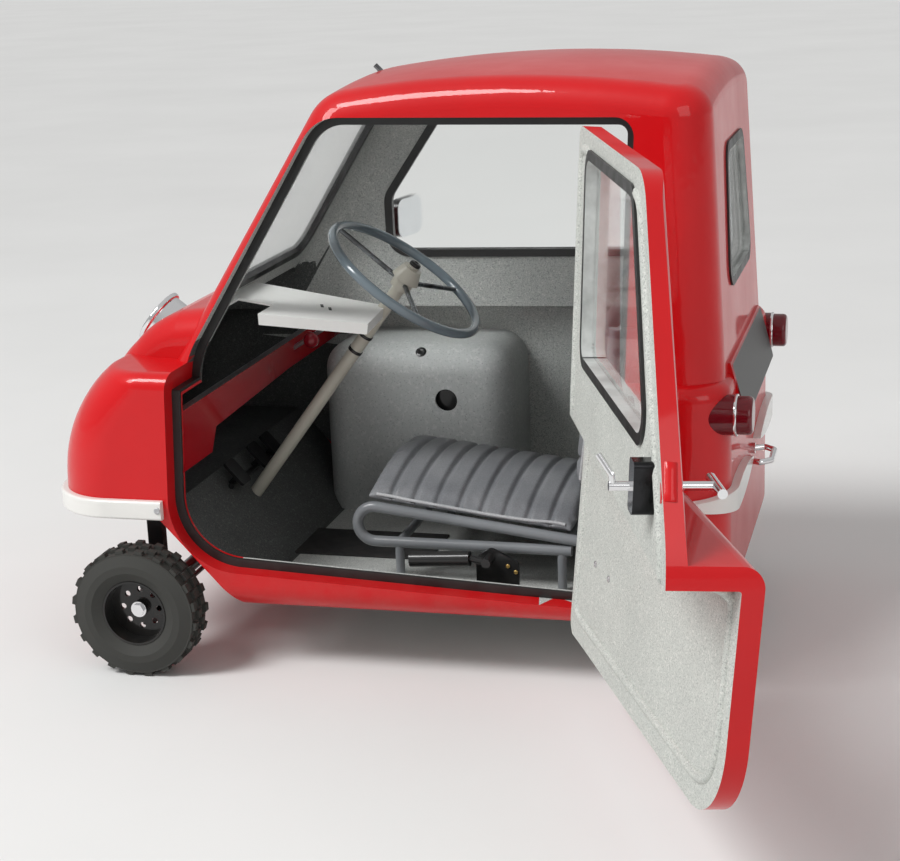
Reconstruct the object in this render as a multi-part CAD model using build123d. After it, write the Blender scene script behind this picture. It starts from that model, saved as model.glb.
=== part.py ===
"""Single-seat three-wheeled microcar, standing with its side door open.

Millimetres. +X points forward, +Y to the car's left (the door side) and +Z up.
The origin is the middle of the flat underside of the floor pan.
"""

import os
from math import cos, radians, sin, sqrt, tan

from build123d import *

# Wheels and track
WHEELBASE = 1000.0
FRONT_AXLE_X = 481.0
FRONT_WHEEL_Y = 435.0
TYRE_RADIUS = 131.0
TYRE_WIDTH = 84.0
LUGS_PER_ROW = 20
LUG_HEIGHT = 7.5
LUG_LENGTH = 17.6
LUG_WIDTH = 14.0
LUG_DRAFT = 1.3
LUG_PITCH_ACROSS = 17.4
TYRE_BEAD_RADIUS = 66.0
RIDE_HEIGHT = 130.0
REAR_AXLE_X = FRONT_AXLE_X - WHEELBASE
AXLE_Z = TYRE_RADIUS - RIDE_HEIGHT

# Lower hull: plan outline, nose curve and underside
HULL_FRONT_X = 672.0
HULL_REAR_X = -668.0
HULL_HALF_FRONT = 416.0
HULL_HALF_REAR = 400.0
HULL_FRONT_CORNER = 125.0
HULL_REAR_CORNER = 75.0
HULL_LEVELS = (0.0, 160.0, 230.0, 290.0, 350.0, 410.0, 470.0)
WAIST_Z = 470.0
PANEL_JOINT_Z = 366.0
NOSE_CURVE_Z = 230.0
NOSE_CURVE_RADIUS = 300.0
NOSE_FLOOR_Z = 180.0
SHOULDER_RADIUS = 30.0
BILGE_RADIUS = 50.0
TOE_BOARD_FOOT_X = 274.0
TOE_BOARD_TOP_X = 436.0
WALL = 12.0

# Cab above the waist
CAB_BASE_Z = 380.0
CAB_REF_X = -480.0
CAB_HALF_REF = 371.0
CAB_SIDE_TAPER = 0.0706
CAB_SIDE_LEAN = 0.045
CAB_REAR_X = -654.0
CAB_REAR_LEAN = 0.0526
CAB_REAR_CORNER = 75.0
ROOF_TOP_Z = 1033.0
ROOF_TOP_X = -290.0
ROOF_RADIUS = 2300.0
ROOF_EDGE_RADIUS = 56.0
ROOF_FRONT_RADIUS = 100.0
SCREEN_REF_X = 320.0
SCREEN_REF_Z = 647.0
SCREEN_RAKE = 32.8

# Raised bonnet between the windscreen and the nose
BONNET_REAR_X = 250.0
BONNET_BASE_Z = 360.0
BONNET_HALF_REAR = 306.0
BONNET_HALF_FRONT = 236.0
BONNET_FRONT_X = 640.0
BONNET_EDGE_RADIUS = 55.0

# Door, its opening and its hinge line
DOOR_THICKNESS = 32.0
DOOR_EDGE_OFFSET = 27.0
DOOR_BOTTOM_Z = 43.0
DOOR_FRONT_X = 414.0
DOOR_FRONT_BOTTOM_Z = 88.0
DOOR_FRONT_RADIUS = 130.0
DOOR_WAIST_X = 396.0
DOOR_WAIST_Z = 474.0
DOOR_TOP_X = 106.0
DOOR_TOP_Z = 938.0
DOOR_GAP = 6.0
JAMB_WIDTH = 26.0
JAMB_DEPTH = 49.0
SEAL_LIP = 11.0
SEAL_FRONT_DEPTH = 37.0
SEAL_BACK_DEPTH = 43.0
DOOR_OPEN_ANGLE = 113.4
HINGE_X = -486.0
HINGE_Y = 470.0
HINGE_REF_Z = 70.0
HINGE_LEAN_X = -0.040
HINGE_LEAN_Y = -0.048
HINGE_HEIGHTS = (140.0, 400.0)
HINGE_BARREL_RADIUS = 8.0
HINGE_PIN_RADIUS = 4.0
HINGE_KNUCKLE = 20.0
HINGE_GAP = 1.0
HINGE_LEAF = 5.0
HINGE_BODY_LEAF = (-575.0, -512.0)
HINGE_BODY_ARM_X = -520.0
HINGE_DOOR_LEAF = (-440.0, -372.0)
HINGE_DOOR_ARM_X = -430.0
LATCH_X = 284.0
LATCH_Z = 545.0
LATCH_BOX = (36.0, 74.0, 30.0)
LATCH_LEVER_DEPTH = 48.0
LATCH_LEVER_RADIUS = 4.5
LATCH_CLEARANCE = 12.0
FIT = 0.3

# Windows
SEAL_WIDTH = 10.0
SEAL_OVERLAP = 7.0
SEAL_PROUD = 4.0
GLASS = 4.0

# Front axle and steering
STEER_KINGPIN_Y = 400.0
KINGPIN_RADIUS = 7.0
KNUCKLE_RADIUS = 13.0
KNUCKLE_HEIGHT = 52.0
STEER_ARM_LENGTH = 45.0
ARM_PIN_RADIUS = 3.7
TIE_ROD_Z = 11.0
TIE_ROD_RADIUS = 6.0
AXLE_PIN_RADIUS = 8.0
RIM_WALL = 4.0
RIM_HOLES = 8
RIM_HOLE_CIRCLE = 38.0
RIM_HOLE_RADIUS = 6.0
HUB_RADIUS = 16.0
FRONT_DISC_LOW = -10.0
FRONT_DISC_HIGH = -4.0
FRONT_HUB_LOW = -14.0
FRONT_HUB_HIGH = 5.0
REAR_DISC_HALF = 3.0
REAR_HUB_HALF = 40.0
YOKE_WEB_Y = 345.0
YOKE_BOTTOM = 32.0
YOKE_TOP = 44.0
BEAM_RADIUS = 15.0
FORK_PIVOT_X = -388.0
FORK_PIVOT_Z = 24.0
FORK_ARM_LOW = 48.0
FORK_ARM_HIGH = 54.0
COLUMN_Y = 50.0
COLUMN_LOW = (344.0, 164.0)
STEERING_CENTRE = (20.0, 592.0)
COLUMN_LENGTH = 620.0
COLUMN_GAP = 24.0
COLUMN_RADIUS = 14.0
SPIGOT_RADIUS = 9.0
SPIGOT_LENGTH = 40.0
STEERING_WHEEL_RADIUS = 172.0
STEERING_RIM_RADIUS = 10.0

# Dash shelf and crossmember
SHELF_X = 288.0
SHELF_Z = 566.0
SHELF_FALL = 9.2
SHELF_THICKNESS = 4.0
SHELF_LIP = 18.0
SHELF_PLAN = ((90.0, 300.0), (0.0, 290.0), (-236.0, 203.0), (-224.0, 40.0), (90.0, 40.0))
CROSSMEMBER_LEFT = (404.0, 376.0, 384.0)
CROSSMEMBER_RIGHT = (322.0, -420.0, 434.0)
CROSSMEMBER_DEPTHS = (
    # distance from the left end, depth below the top edge
    (0.0, 120.0),
    (128.0, 120.0),
    (152.0, 74.0),
    (500.0, 58.0),
)
CROSSMEMBER_THICKNESS = 18.0

# Seat and controls
SEAT_Y = 40.0
SEAT_HALF = 210.0
SEAT_TUBE_RADIUS = 11.0
SEAT_BEND = 36.0
SEAT_HAIRPIN = ((-350.0, 96.0), (85.0, 96.0), (85.0, 173.0), (-400.0, 112.0), (-440.0, 540.0))
SEAT_FEET_X = (0.0, -330.0)
SEAT_EDGE = 14.0
SEAT_CROWN = 44.0
SEAT_REAR_GAP = 40.0
SEAT_LENGTH = 434.0
SEAT_BACK_THICKNESS = 40.0
SEAT_BACK_RANGE = (100.0, 440.0)
HANDBRAKE_PLATE_X = (-255.0, -170.0)
HANDBRAKE_PLATE_Y = (284.0, 292.0)
HANDBRAKE_GRIP_Y = 318.0
HANDBRAKE_GRIP = ((-165.0, HANDBRAKE_GRIP_Y, 98.0), (-45.0, HANDBRAKE_GRIP_Y, 90.0))
PEDAL_Z = 150.0
PEDAL_Y = (-100.0, -20.0, 112.0)
PEDAL_ROD_RADIUS = 6.0
PEDAL_LIFT = 26.0
GEAR_ROD = ((350.0, -155.0, 390.0), (270.0, -135.0, 440.0), (240.0, -120.0, 470.0))
GEAR_ROD_RADIUS = 5.0
GEAR_ROD_BEND = 20.0
GEAR_BALL = (290.0, -122.0, 420.0)
GEAR_BALL_RADIUS = 17.0

# Engine and its cover
ENGINE_COVER_Y = -195.0
ENGINE_COVER_TOP = 392.0
ENGINE_COVER_REAR_X = -130.0
ENGINE_COVER_FRONT_X = 302.0
ENGINE_COVER_WALL = 6.0
ENGINE_COVER_RADIUS = 65.0
ENGINE_COVER_HOLE = (12.0, 274.0, 25.0)
ENGINE_X = (-90.0, 225.0)
ENGINE_Y = (-345.0, -215.0)
ENGINE_Z = (WALL, 330.0)

# Rear wheel box
REAR_BOX_HALF = 62.0
REAR_BOX_WALL = 6.0
REAR_BOX_TOP = 160.0
REAR_BOX_FRONT_X = -366.0

# Lamps, bumpers, plate, mirror and wiper
HEADLAMP_CENTRE = (579.0, 0.0, 487.0)
HEADLAMP_RISE = 38.0
HEADLAMP_RADIUS = 62.0
FRONT_BUMPER_Z = 200.0
FRONT_BUMPER_HEIGHT = 38.0
FRONT_BUMPER_PROUD = 14.0
REAR_BUMPER_Z = 250.0
REAR_BUMPER_HEIGHT = 48.0
REAR_BUMPER_PROUD = 15.0
REAR_BUMPER_MIDDLE_Y = 265.0
REAR_BUMPER_CURVE = 880.0
BUMPER_EDGE = 5.0
BUMPER_SEAT = 10.0
HANDLE_Z = 235.0
HANDLE_RADIUS = 6.0
TAIL_LAMP_Y = 352.0
TAIL_LAMP_Z = 411.0
TAIL_LAMP_RADIUS = 35.0
PLATE_HALF = 260.0
PLATE_TOP = (-658.0, 484.0)
PLATE_LOW = (-688.0, 372.0)
MIRROR_FOOT_X = 205.0
MIRROR_FOOT_Z = 600.0
MIRROR_HEAD = (150.0, -420.0, 644.0)
WIPER_FOOT = (66.0, 0.0, 1003.0)
WIPER_LEAN = 45.0
WIPER_SPINDLE = 5.0
WIPER_TIP = (120.0, -190.0, 975.0)


def prism(face_on_xz, y_low, y_high):
    """Extrude a face drawn on the XZ plane from y_low to y_high."""
    return Pos(0, y_high, 0) * extrude(Plane.XZ * face_on_xz, amount=y_high - y_low)


def rounded(points, radii):
    """Closed outline through the points with one radius for each corner."""
    return make_face(FilletPolyline(*points, radius=list(radii), close=True))


def rod(start, end, radius):
    """Round bar between two points."""
    line = Vector(*end) - Vector(*start)
    plane = Plane(origin=start, z_dir=line)
    return plane * Cylinder(radius, line.length, align=(Align.CENTER, Align.CENTER, Align.MIN))


def tube_path(points, bend, radius, bore=0.0):
    """Round tube swept along straight runs with bends of one radius."""
    path = FilletPolyline(*points, radius=bend)
    start = Plane(origin=path @ 0, z_dir=path % 0)
    bar = sweep(start * Circle(radius), path=path)
    if bore:
        bar -= sweep(start * Circle(bore), path=path)
    return bar


def block(x_range, y_range, z_range):
    """Box between pairs of limits."""
    size = [pair[1] - pair[0] for pair in (x_range, y_range, z_range)]
    middle = [(pair[1] + pair[0]) / 2 for pair in (x_range, y_range, z_range)]
    return Pos(*middle) * Box(*size)


def mirrored(shape):
    """The same shape on the car's other side."""
    return mirror(shape, about=Plane.XZ)


# Outer form and its parallel inner forms


def nose_x(z):
    """How far forward the hull reaches at a height."""
    if z <= NOSE_CURVE_Z:
        return HULL_FRONT_X
    fall = z - NOSE_CURVE_Z
    return HULL_FRONT_X - NOSE_CURVE_RADIUS + sqrt(NOSE_CURVE_RADIUS**2 - fall**2)


def hull_half(x):
    """Half width of the hull at a station."""
    share = (x - HULL_REAR_X) / (HULL_FRONT_X - HULL_REAR_X)
    return HULL_HALF_REAR + share * (HULL_HALF_FRONT - HULL_HALF_REAR)


def hull_plan(z, inset):
    """Plan outline of the hull at a height, moved in by the inset."""
    rear_x = HULL_REAR_X + inset
    front_x = nose_x(z) - inset
    rear = HULL_HALF_REAR - inset
    front = hull_half(nose_x(z)) - inset
    corners = [(rear_x, -rear), (front_x, -front), (front_x, front), (rear_x, rear)]
    front_corner = HULL_FRONT_CORNER - inset
    rear_corner = HULL_REAR_CORNER - inset
    return rounded(corners, (rear_corner, front_corner, front_corner, rear_corner))


def underbody_cut(inset):
    """What is cut from below: the toe board's slope and the nose's open underside."""
    low = -100.0
    far = HULL_FRONT_X + 100.0
    slope = (TOE_BOARD_TOP_X - TOE_BOARD_FOOT_X) / NOSE_FLOOR_Z
    outline = Polyline(
        (TOE_BOARD_FOOT_X + low * slope, low),
        (far, low),
        (far, NOSE_FLOOR_Z),
        (TOE_BOARD_TOP_X, NOSE_FLOOR_Z),
        close=True,
    )
    face = make_face(outline)
    if inset:
        face = offset(face, amount=inset, kind=Kind.INTERSECTION)
    return prism(face, -HULL_HALF_FRONT - 50, HULL_HALF_FRONT + 50)


def hull_form(inset, open_nose=True):
    """Lower hull with its rounded shoulder and bilge."""
    levels = (inset,) + HULL_LEVELS[1:-1] + (WAIST_Z - inset,)
    form = loft([Pos(0, 0, z) * hull_plan(z, inset) for z in levels])
    shoulder = form.edges().filter_by(lambda e: abs(e.center().Z - levels[-1]) < 0.01)
    form = fillet(shoulder, max(SHOULDER_RADIUS - inset, 4.0))
    bilge = form.edges().filter_by(lambda e: abs(e.center().Z - levels[0]) < 0.01)
    form = fillet(bilge, max(BILGE_RADIUS - inset, 4.0))
    return form - underbody_cut(inset) if open_nose else form


def cab_half(x, z):
    """Half width of the cab at a station and height."""
    return CAB_HALF_REF - (x - CAB_REF_X) * CAB_SIDE_TAPER - (z - WAIST_Z) * CAB_SIDE_LEAN


def screen_point(z):
    """Where the windscreen plane is at a height."""
    return SCREEN_REF_X + (SCREEN_REF_Z - z) * tan(radians(SCREEN_RAKE))


def cab_rear(z):
    """Where the rear face of the cab is at a height."""
    return CAB_REAR_X + (z - WAIST_Z) * CAB_REAR_LEAN


def cab_plan(z, shift):
    """Plan of the cab's two sides at a height, moved in by the shift."""
    rear = (-900.0, cab_half(-900.0, z) - shift)
    front = (700.0, cab_half(700.0, z) - shift)
    outline = Polyline(rear, front, (front[0], -front[1]), (rear[0], -rear[1]), close=True)
    return Pos(0, 0, z) * make_face(outline)


def cab_form(inset):
    """Greenhouse: leaning sides, raked windscreen, domed roof and round edges."""
    low = CAB_BASE_Z
    high = ROOF_TOP_Z + 50.0
    screen_shift = inset / cos(radians(SCREEN_RAKE))
    side = Polyline(
        (cab_rear(low) + inset, low),
        (screen_point(low) - screen_shift, low),
        (screen_point(high) - screen_shift, high),
        (cab_rear(high) + inset, high),
        close=True,
    )
    form = prism(make_face(side), -450, 450)
    form &= loft([cab_plan(z, side_shift(inset)) for z in (low - 50.0, high + 50.0)])
    form &= Pos(ROOF_TOP_X, 0, ROOF_TOP_Z - ROOF_RADIUS) * Sphere(ROOF_RADIUS - inset)
    brow = form.faces().sort_by(Axis.Z)[-1].edges().sort_by(Axis.X)[-1]
    form = fillet(brow, ROOF_FRONT_RADIUS - inset)
    corners = form.edges().filter_by(lambda e: is_rear_corner(e @ 0.5))
    form = fillet(corners, CAB_REAR_CORNER - inset)
    rim = form.edges().filter_by(lambda e: is_roof_rim(e @ 0.5))
    return fillet(rim, ROOF_EDGE_RADIUS - inset)


def is_rear_corner(point):
    """Whether an edge's middle lies on a rear corner of the cab."""
    return point.X < -540 and abs(point.Y) > 150 and WAIST_Z < point.Z < 850


def is_roof_rim(point):
    """Whether an edge's middle lies on a pillar or round the roof's edge."""
    pillar = point.X > 100 and abs(point.Y) > 150 and point.Z > WAIST_Z
    upper = point.Z > 900 and (point.X < 0 or abs(point.Y) > 150)
    return pillar or upper


def bonnet_form(inset):
    """Raised middle of the bonnet, from the windscreen down to the nose."""
    top = Line((BONNET_REAR_X, 588.0), (430.0, 559.0))
    brow = ThreePointArc((430.0, 559.0), (490.0, 533.0), (540.0, 493.0))
    front = ThreePointArc((540.0, 493.0), (594.0, 433.0), (628.0, BONNET_BASE_Z))
    back = Polyline((628.0, BONNET_BASE_Z), (BONNET_REAR_X, BONNET_BASE_Z), (BONNET_REAR_X, 588.0))
    side = make_face(top + brow + front + back)
    plan = make_face(
        Polyline(
            (BONNET_REAR_X, -BONNET_HALF_REAR - 8),
            (BONNET_FRONT_X, -BONNET_HALF_FRONT),
            (BONNET_FRONT_X, BONNET_HALF_FRONT),
            (BONNET_REAR_X, BONNET_HALF_REAR + 8),
            close=True,
        )
    )
    if inset:
        side = offset(side, amount=-inset, kind=Kind.INTERSECTION)
        plan = offset(plan, amount=-inset, kind=Kind.INTERSECTION)
    form = prism(side, -500, 500) & (Pos(0, 0, 300) * extrude(plan, amount=400))
    flanks = form.edges().filter_by(lambda e: abs(e.center().Y) > 200 and e.center().Z > BONNET_BASE_Z + inset + 15)
    flanks = flanks.filter_by(lambda e: e.center().X > BONNET_REAR_X + inset + 5)
    return fillet(flanks, max(BONNET_EDGE_RADIUS - inset, 5.0))


def body_form(inset):
    """The whole body's form, moved in by the inset."""
    return hull_form(inset) + cab_form(inset) + bonnet_form(inset)


def side_form(inset):
    """Form for layers of the door side: closed hull and the cab's plain leaning flanks."""
    flanks = loft([cab_plan(z, side_shift(inset)) for z in (CAB_BASE_Z, ROOF_TOP_Z + 60.0)])
    return hull_form(inset, open_nose=False) + flanks


def side_shift(inset):
    """How far the cab's flanks move across the car for a layer at a depth."""
    return inset * sqrt(1 + CAB_SIDE_TAPER**2 + CAB_SIDE_LEAN**2)


# Door outline, shared by the door, its opening and its seal


def hinge_point(z):
    """Point of the hinge line at a height, with the door shut."""
    rise = z - HINGE_REF_Z
    return Vector(HINGE_X + HINGE_LEAN_X * rise, HINGE_Y + HINGE_LEAN_Y * rise, z)


def door_rear(z):
    """Hinge edge of the door at a height."""
    return hinge_point(z).X + DOOR_EDGE_OFFSET


def door_outline(grow):
    """Door seen from the side, larger or smaller by an even margin."""
    table = (
        # x, z, corner radius
        (door_rear(DOOR_BOTTOM_Z), DOOR_BOTTOM_Z, 28.0),
        (DOOR_FRONT_X, DOOR_FRONT_BOTTOM_Z, DOOR_FRONT_RADIUS),
        (DOOR_WAIST_X, DOOR_WAIST_Z, 160.0),
        (DOOR_TOP_X, DOOR_TOP_Z, 85.0),
        (door_rear(DOOR_TOP_Z), DOOR_TOP_Z, 28.0),
    )
    face = rounded([row[:2] for row in table], [row[2] for row in table])
    return offset(face, amount=grow) if grow else face


def door_prism(grow):
    """Everything inside the door outline and near the left wall."""
    reach = prism(door_outline(grow), 100.0, 560.0)
    hull_inner = HULL_HALF_REAR - JAMB_DEPTH - 6.0
    cab_inner = cab_half(DOOR_WAIST_X, WAIST_Z) - JAMB_DEPTH - 6.0
    ledge_z = WAIST_Z - JAMB_DEPTH - 16.0
    top_z = ROOF_TOP_Z + 60.0
    outline = Polyline(
        (0, hull_inner, -20),
        (0, 560, -20),
        (0, 560, top_z),
        (0, cab_inner - (top_z - WAIST_Z) * CAB_SIDE_LEAN, top_z),
        (0, cab_inner, WAIST_Z),
        (0, cab_inner, ledge_z),
        (0, hull_inner, ledge_z),
        close=True,
    )
    return reach & extrude(make_face(outline), amount=900.0, both=True)


# Windows


def window_planes():
    """Planes in the middle of the walls that hold glass, each with its outline."""
    half_wall = WALL / 2
    screen = Plane(
        origin=(SCREEN_REF_X, 0, SCREEN_REF_Z),
        x_dir=(0, 1, 0),
        z_dir=(cos(radians(SCREEN_RAKE)), 0, sin(radians(SCREEN_RAKE))),
    ).offset(-half_wall)
    side = Plane(
        origin=(0, -cab_half(0, WAIST_Z), WAIST_Z),
        x_dir=(1, CAB_SIDE_TAPER, 0),
        z_dir=(CAB_SIDE_TAPER, -1, CAB_SIDE_LEAN),
    ).offset(-half_wall)
    rear = Plane(
        origin=(CAB_REAR_X, 0, WAIST_Z), x_dir=(0, -1, 0), z_dir=(-1, 0, CAB_REAR_LEAN)
    ).offset(-half_wall)
    return screen, side, rear


def screen_outline():
    """Windscreen on its own plane, with the origin at the reference height."""
    return rounded([(-238, -52), (238, -52), (218, 356), (-218, 356)], (45, 45, 55, 55))


def side_outline():
    """Right-hand window, its front edge raked like the pillar."""
    corners = [(-440, 108), (160, 108), (160, 237), (20, 440), (-440, 440)]
    return rounded(corners, (40, 48, 50, 30, 45))


def rear_outline():
    """Rear window, narrower at the top."""
    return rounded([(-178, 142), (178, 142), (130, 395), (-130, 395)], (38, 38, 38, 38))


def door_window_outline():
    """Door window on the door's own plane."""
    corners = [(362, 93), (-236, 108), (-46, 436), (392, 436)]
    return rounded(corners, (35, 40, 35, 35))


def window_cut(plane, outline):
    """What the window takes out of its wall."""
    return plane * extrude(outline, amount=45, both=True)


def window_seal(plane, outline, wall):
    """Rubber surround: a band round the edge with a lip on each face of the wall."""
    inner = offset(outline, amount=-SEAL_WIDTH)
    lip = offset(outline, amount=SEAL_OVERLAP) - inner
    deep = wall / 2 + SEAL_PROUD
    seal = extrude(outline - inner, amount=deep, both=True)
    seal += Pos(0, 0, wall / 2) * extrude(lip, amount=SEAL_PROUD)
    seal += Pos(0, 0, -deep) * extrude(lip, amount=SEAL_PROUD)
    return plane * seal


def window_glass(plane, outline):
    """Pane held inside the seal."""
    pane = offset(outline, amount=-SEAL_WIDTH)
    return plane * extrude(pane, amount=GLASS / 2, both=True)


# Body panels


def rear_slot():
    """Space that the rear wheel needs through the floor."""
    low_x = HULL_REAR_X - 40
    return block((low_x, REAR_BOX_FRONT_X - REAR_BOX_WALL), (-REAR_BOX_HALF, REAR_BOX_HALF), (-20, 40))


def floor_region():
    """Flat part of the underside that is the floor pan."""
    margin = BILGE_RADIUS + 4.0
    front = TOE_BOARD_FOOT_X - 14.0
    half = HULL_HALF_REAR - margin
    face = rounded(
        [(HULL_REAR_X + margin, -half), (front, -half), (front, half), (HULL_REAR_X + margin, half)],
        (30, 6, 6, 30),
    )
    return extrude(face, amount=WALL)


def body_shell(outer, void):
    """One shell of body, with the door opening, its jamb and the seal's ledge."""
    jamb = (outer & door_prism(DOOR_GAP + JAMB_WIDTH)) - side_form(JAMB_DEPTH)
    shell = (outer - void) + jamb
    shell -= door_prism(DOOR_GAP) - side_form(SEAL_BACK_DEPTH)
    return shell - door_prism(-SEAL_LIP)


def door_seal():
    """Rubber strip on the ledge that the shut door meets."""
    layer = side_form(SEAL_FRONT_DEPTH) - side_form(SEAL_BACK_DEPTH)
    return layer & (door_prism(DOOR_GAP) - door_prism(-SEAL_LIP))


def floor_pan():
    """Flat bottom plate, slotted for the rear wheel."""
    return floor_region() - rear_slot()


def rear_wheel_box(void):
    """Box over the rear wheel inside the cab, open below."""
    half = REAR_BOX_HALF + REAR_BOX_WALL
    low_x = HULL_REAR_X - 20.0
    outer = block((low_x, REAR_BOX_FRONT_X), (-half, half), (-20.0, REAR_BOX_TOP))
    top_edges = outer.edges().filter_by(lambda e: e.center().Z > REAR_BOX_TOP - 1 and e.center().X > low_x + 1)
    outer = fillet(top_edges, REAR_BOX_WALL + 2.0)
    wheel_room = block(
        (low_x - 20.0, REAR_BOX_FRONT_X - REAR_BOX_WALL),
        (-REAR_BOX_HALF, REAR_BOX_HALF),
        (-40.0, REAR_BOX_TOP - REAR_BOX_WALL),
    )
    return (outer & void) - wheel_room


# Door


def door_plane():
    """Middle of the door's wall beside the cab, its x axis pointing to the rear."""
    plane = Plane(
        origin=(0, cab_half(0, WAIST_Z), WAIST_Z),
        x_dir=(-1, CAB_SIDE_TAPER, 0),
        z_dir=(CAB_SIDE_TAPER, 1, CAB_SIDE_LEAN),
    )
    return plane.offset(-DOOR_THICKNESS / 2)


def swing_open(shape):
    """Turn a part of the shut door to its open place."""
    low = hinge_point(0.0)
    return shape.rotate(Axis(low, hinge_point(1.0) - low), DOOR_OPEN_ANGLE)


def latch_plane():
    """Inner face of the door at the latch, its z axis pointing into the cab."""
    skin = cab_half(LATCH_X, LATCH_Z)
    plane = Plane(
        origin=(LATCH_X, skin, LATCH_Z),
        x_dir=(-1, CAB_SIDE_TAPER, 0),
        z_dir=(-CAB_SIDE_TAPER, -1, -CAB_SIDE_LEAN),
    )
    return plane.offset(DOOR_THICKNESS)


def door_panel(outer):
    """Moulded door, one wall thick, with its window cut."""
    panel = (outer - side_form(DOOR_THICKNESS)) & door_prism(0.0)
    return panel - window_cut(door_plane(), door_window_outline())


def door_latch():
    """Latch box on the door's inner face with its turning lever."""
    length, height, depth = LATCH_BOX
    box = Pos(0, 0, depth / 2) * Box(length, height, depth)
    box = fillet(box.edges().filter_by(Axis.Z), 8.0)
    spindle = rod((0, 0, depth), (0, 0, depth + 30), 6.5)
    end = depth + LATCH_LEVER_DEPTH - LATCH_LEVER_RADIUS
    lever = tube_path([(0, 4, end - 20), (0, -16, end - 17), (14, -40, end)], 8.0, LATCH_LEVER_RADIUS)
    return latch_plane() * (box + spindle + lever)


def door_handle():
    """Turning grip on the door's outer face."""
    start = -DOOR_THICKNESS
    rose = rod((0, 0, start), (0, 0, start - 5), 13.0)
    shaft = rod((0, 0, start - 5), (0, 0, start - 54), 6.5)
    grip = rod((-38, 0, start - 54), (38, 0, start - 54), 7.0)
    return latch_plane() * (rose + shaft + grip)


def hinge_half(z, outer, leaf_x, arm_x, steps):
    """One half of a hinge: leaf on the skin and arms out to the knuckles on the hinge line."""
    origin = hinge_point(z)
    line = (hinge_point(z + 1.0) - origin).normalized()
    plane = Plane(origin=origin, x_dir=(line.Z, 0, -line.X), z_dir=line)
    pitch = HINGE_KNUCKLE + HINGE_GAP
    tall = max(abs(step) for step in steps) * pitch + HINGE_KNUCKLE / 2
    skin_y = hull_half(arm_x)
    foot = (arm_x - origin.X, skin_y - origin.Y)
    outline = Polyline((0, 6), (foot[0], foot[1] + HINGE_LEAF), (foot[0], foot[1] - 12), (0, -6), close=True)
    half = block(leaf_x, (skin_y - 8.0, skin_y + HINGE_LEAF), (z - tall, z + tall))
    for step in steps:
        low = step * pitch - HINGE_KNUCKLE / 2
        barrel = Circle(HINGE_BARREL_RADIUS)
        half += plane * (Pos(0, 0, low) * extrude(make_face(outline) + barrel, amount=HINGE_KNUCKLE))
    return half - outer, plane


def hinge_body_leaf(z, outer):
    """Hinge half on the body, with the pin."""
    half, plane = hinge_half(z, outer, HINGE_BODY_LEAF, HINGE_BODY_ARM_X, (-1, 1))
    pin_length = 3 * HINGE_KNUCKLE + 2 * HINGE_GAP
    return half + plane * Cylinder(HINGE_PIN_RADIUS, pin_length)


def hinge_door_leaf(z, outer):
    """Hinge half on the door, bored for the pin."""
    half, plane = hinge_half(z, outer, HINGE_DOOR_LEAF, HINGE_DOOR_ARM_X, (0,))
    bored = half - plane * Cylinder(HINGE_PIN_RADIUS + FIT, 3 * HINGE_KNUCKLE)
    return swing_open(bored)


# Lamps, bumpers and small outside pieces


def lamp_axis():
    """Headlamp's direction."""
    return Vector(cos(radians(HEADLAMP_RISE)), 0, sin(radians(HEADLAMP_RISE)))


def headlamp_point(along):
    """Point on the headlamp's axis."""
    return Vector(*HEADLAMP_CENTRE) + lamp_axis() * along


def headlamp_hole():
    """What the lamp's bucket takes out of the bonnet."""
    return rod(headlamp_point(-90), headlamp_point(60), HEADLAMP_RADIUS - 6)


def headlamp_bezel():
    """Bucket through the bonnet with its rim."""
    bucket = rod(headlamp_point(-62), headlamp_point(4), HEADLAMP_RADIUS - 6)
    rim = rod(headlamp_point(4), headlamp_point(16), HEADLAMP_RADIUS)
    rim = fillet(rim.edges(), 4.0)
    room = rod(headlamp_point(-54), headlamp_point(30), HEADLAMP_RADIUS - 10)
    return (bucket + rim) - room


def headlamp_lens():
    """Domed glass in the rim."""
    lens = rod(headlamp_point(4), headlamp_point(14), HEADLAMP_RADIUS - 10)
    reach = HEADLAMP_RADIUS - 10
    bulge = 14.0
    radius = (reach**2 + bulge**2) / (2 * bulge)
    dome = Pos(*headlamp_point(14 + bulge - radius)) * Sphere(radius)
    dome &= rod(headlamp_point(13), headlamp_point(40), reach)
    return lens + dome


def bumper_band(z, height, proud):
    """Band round the hull at a height."""
    plan = hull_plan(z, 0.0)
    band = offset(plan, amount=proud) - offset(plan, amount=-BUMPER_SEAT)
    return Pos(0, 0, z - height / 2) * extrude(band, amount=height)


def front_bumper(outer):
    """White bumper round the left front corner."""
    band = bumper_band(FRONT_BUMPER_Z, FRONT_BUMPER_HEIGHT, FRONT_BUMPER_PROUD)
    ends = rounded([(425, 105), (425, 470), (720, 470), (720, 105)], (8, 8, 8, 8))
    piece = band & (Pos(0, 0, 100) * extrude(ends, amount=200))
    lips = piece.edges().filter_by(lambda e: is_outer_lip(e, FRONT_BUMPER_PROUD))
    return largest(fillet(lips, BUMPER_EDGE) - outer)


def rear_bumper(outer):
    """White bumper round the left rear corner, tapering to both ends like a crescent."""
    band = bumper_band(REAR_BUMPER_Z, REAR_BUMPER_HEIGHT, REAR_BUMPER_PROUD)
    ends = rounded([(-720, 69), (-720, 470), (-575, 470), (-575, 69)], (8, 8, 8, 8))
    piece = band & (Pos(0, 0, 100) * extrude(ends, amount=300))
    middle = Pos(HULL_REAR_X - REAR_BUMPER_PROUD, REAR_BUMPER_MIDDLE_Y, REAR_BUMPER_Z)
    rise = REAR_BUMPER_CURVE - REAR_BUMPER_HEIGHT / 2
    lens = (Pos(0, 0, -rise) * Sphere(REAR_BUMPER_CURVE)) & (Pos(0, 0, rise) * Sphere(REAR_BUMPER_CURVE))
    return largest((piece & (middle * lens)) - outer)


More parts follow.
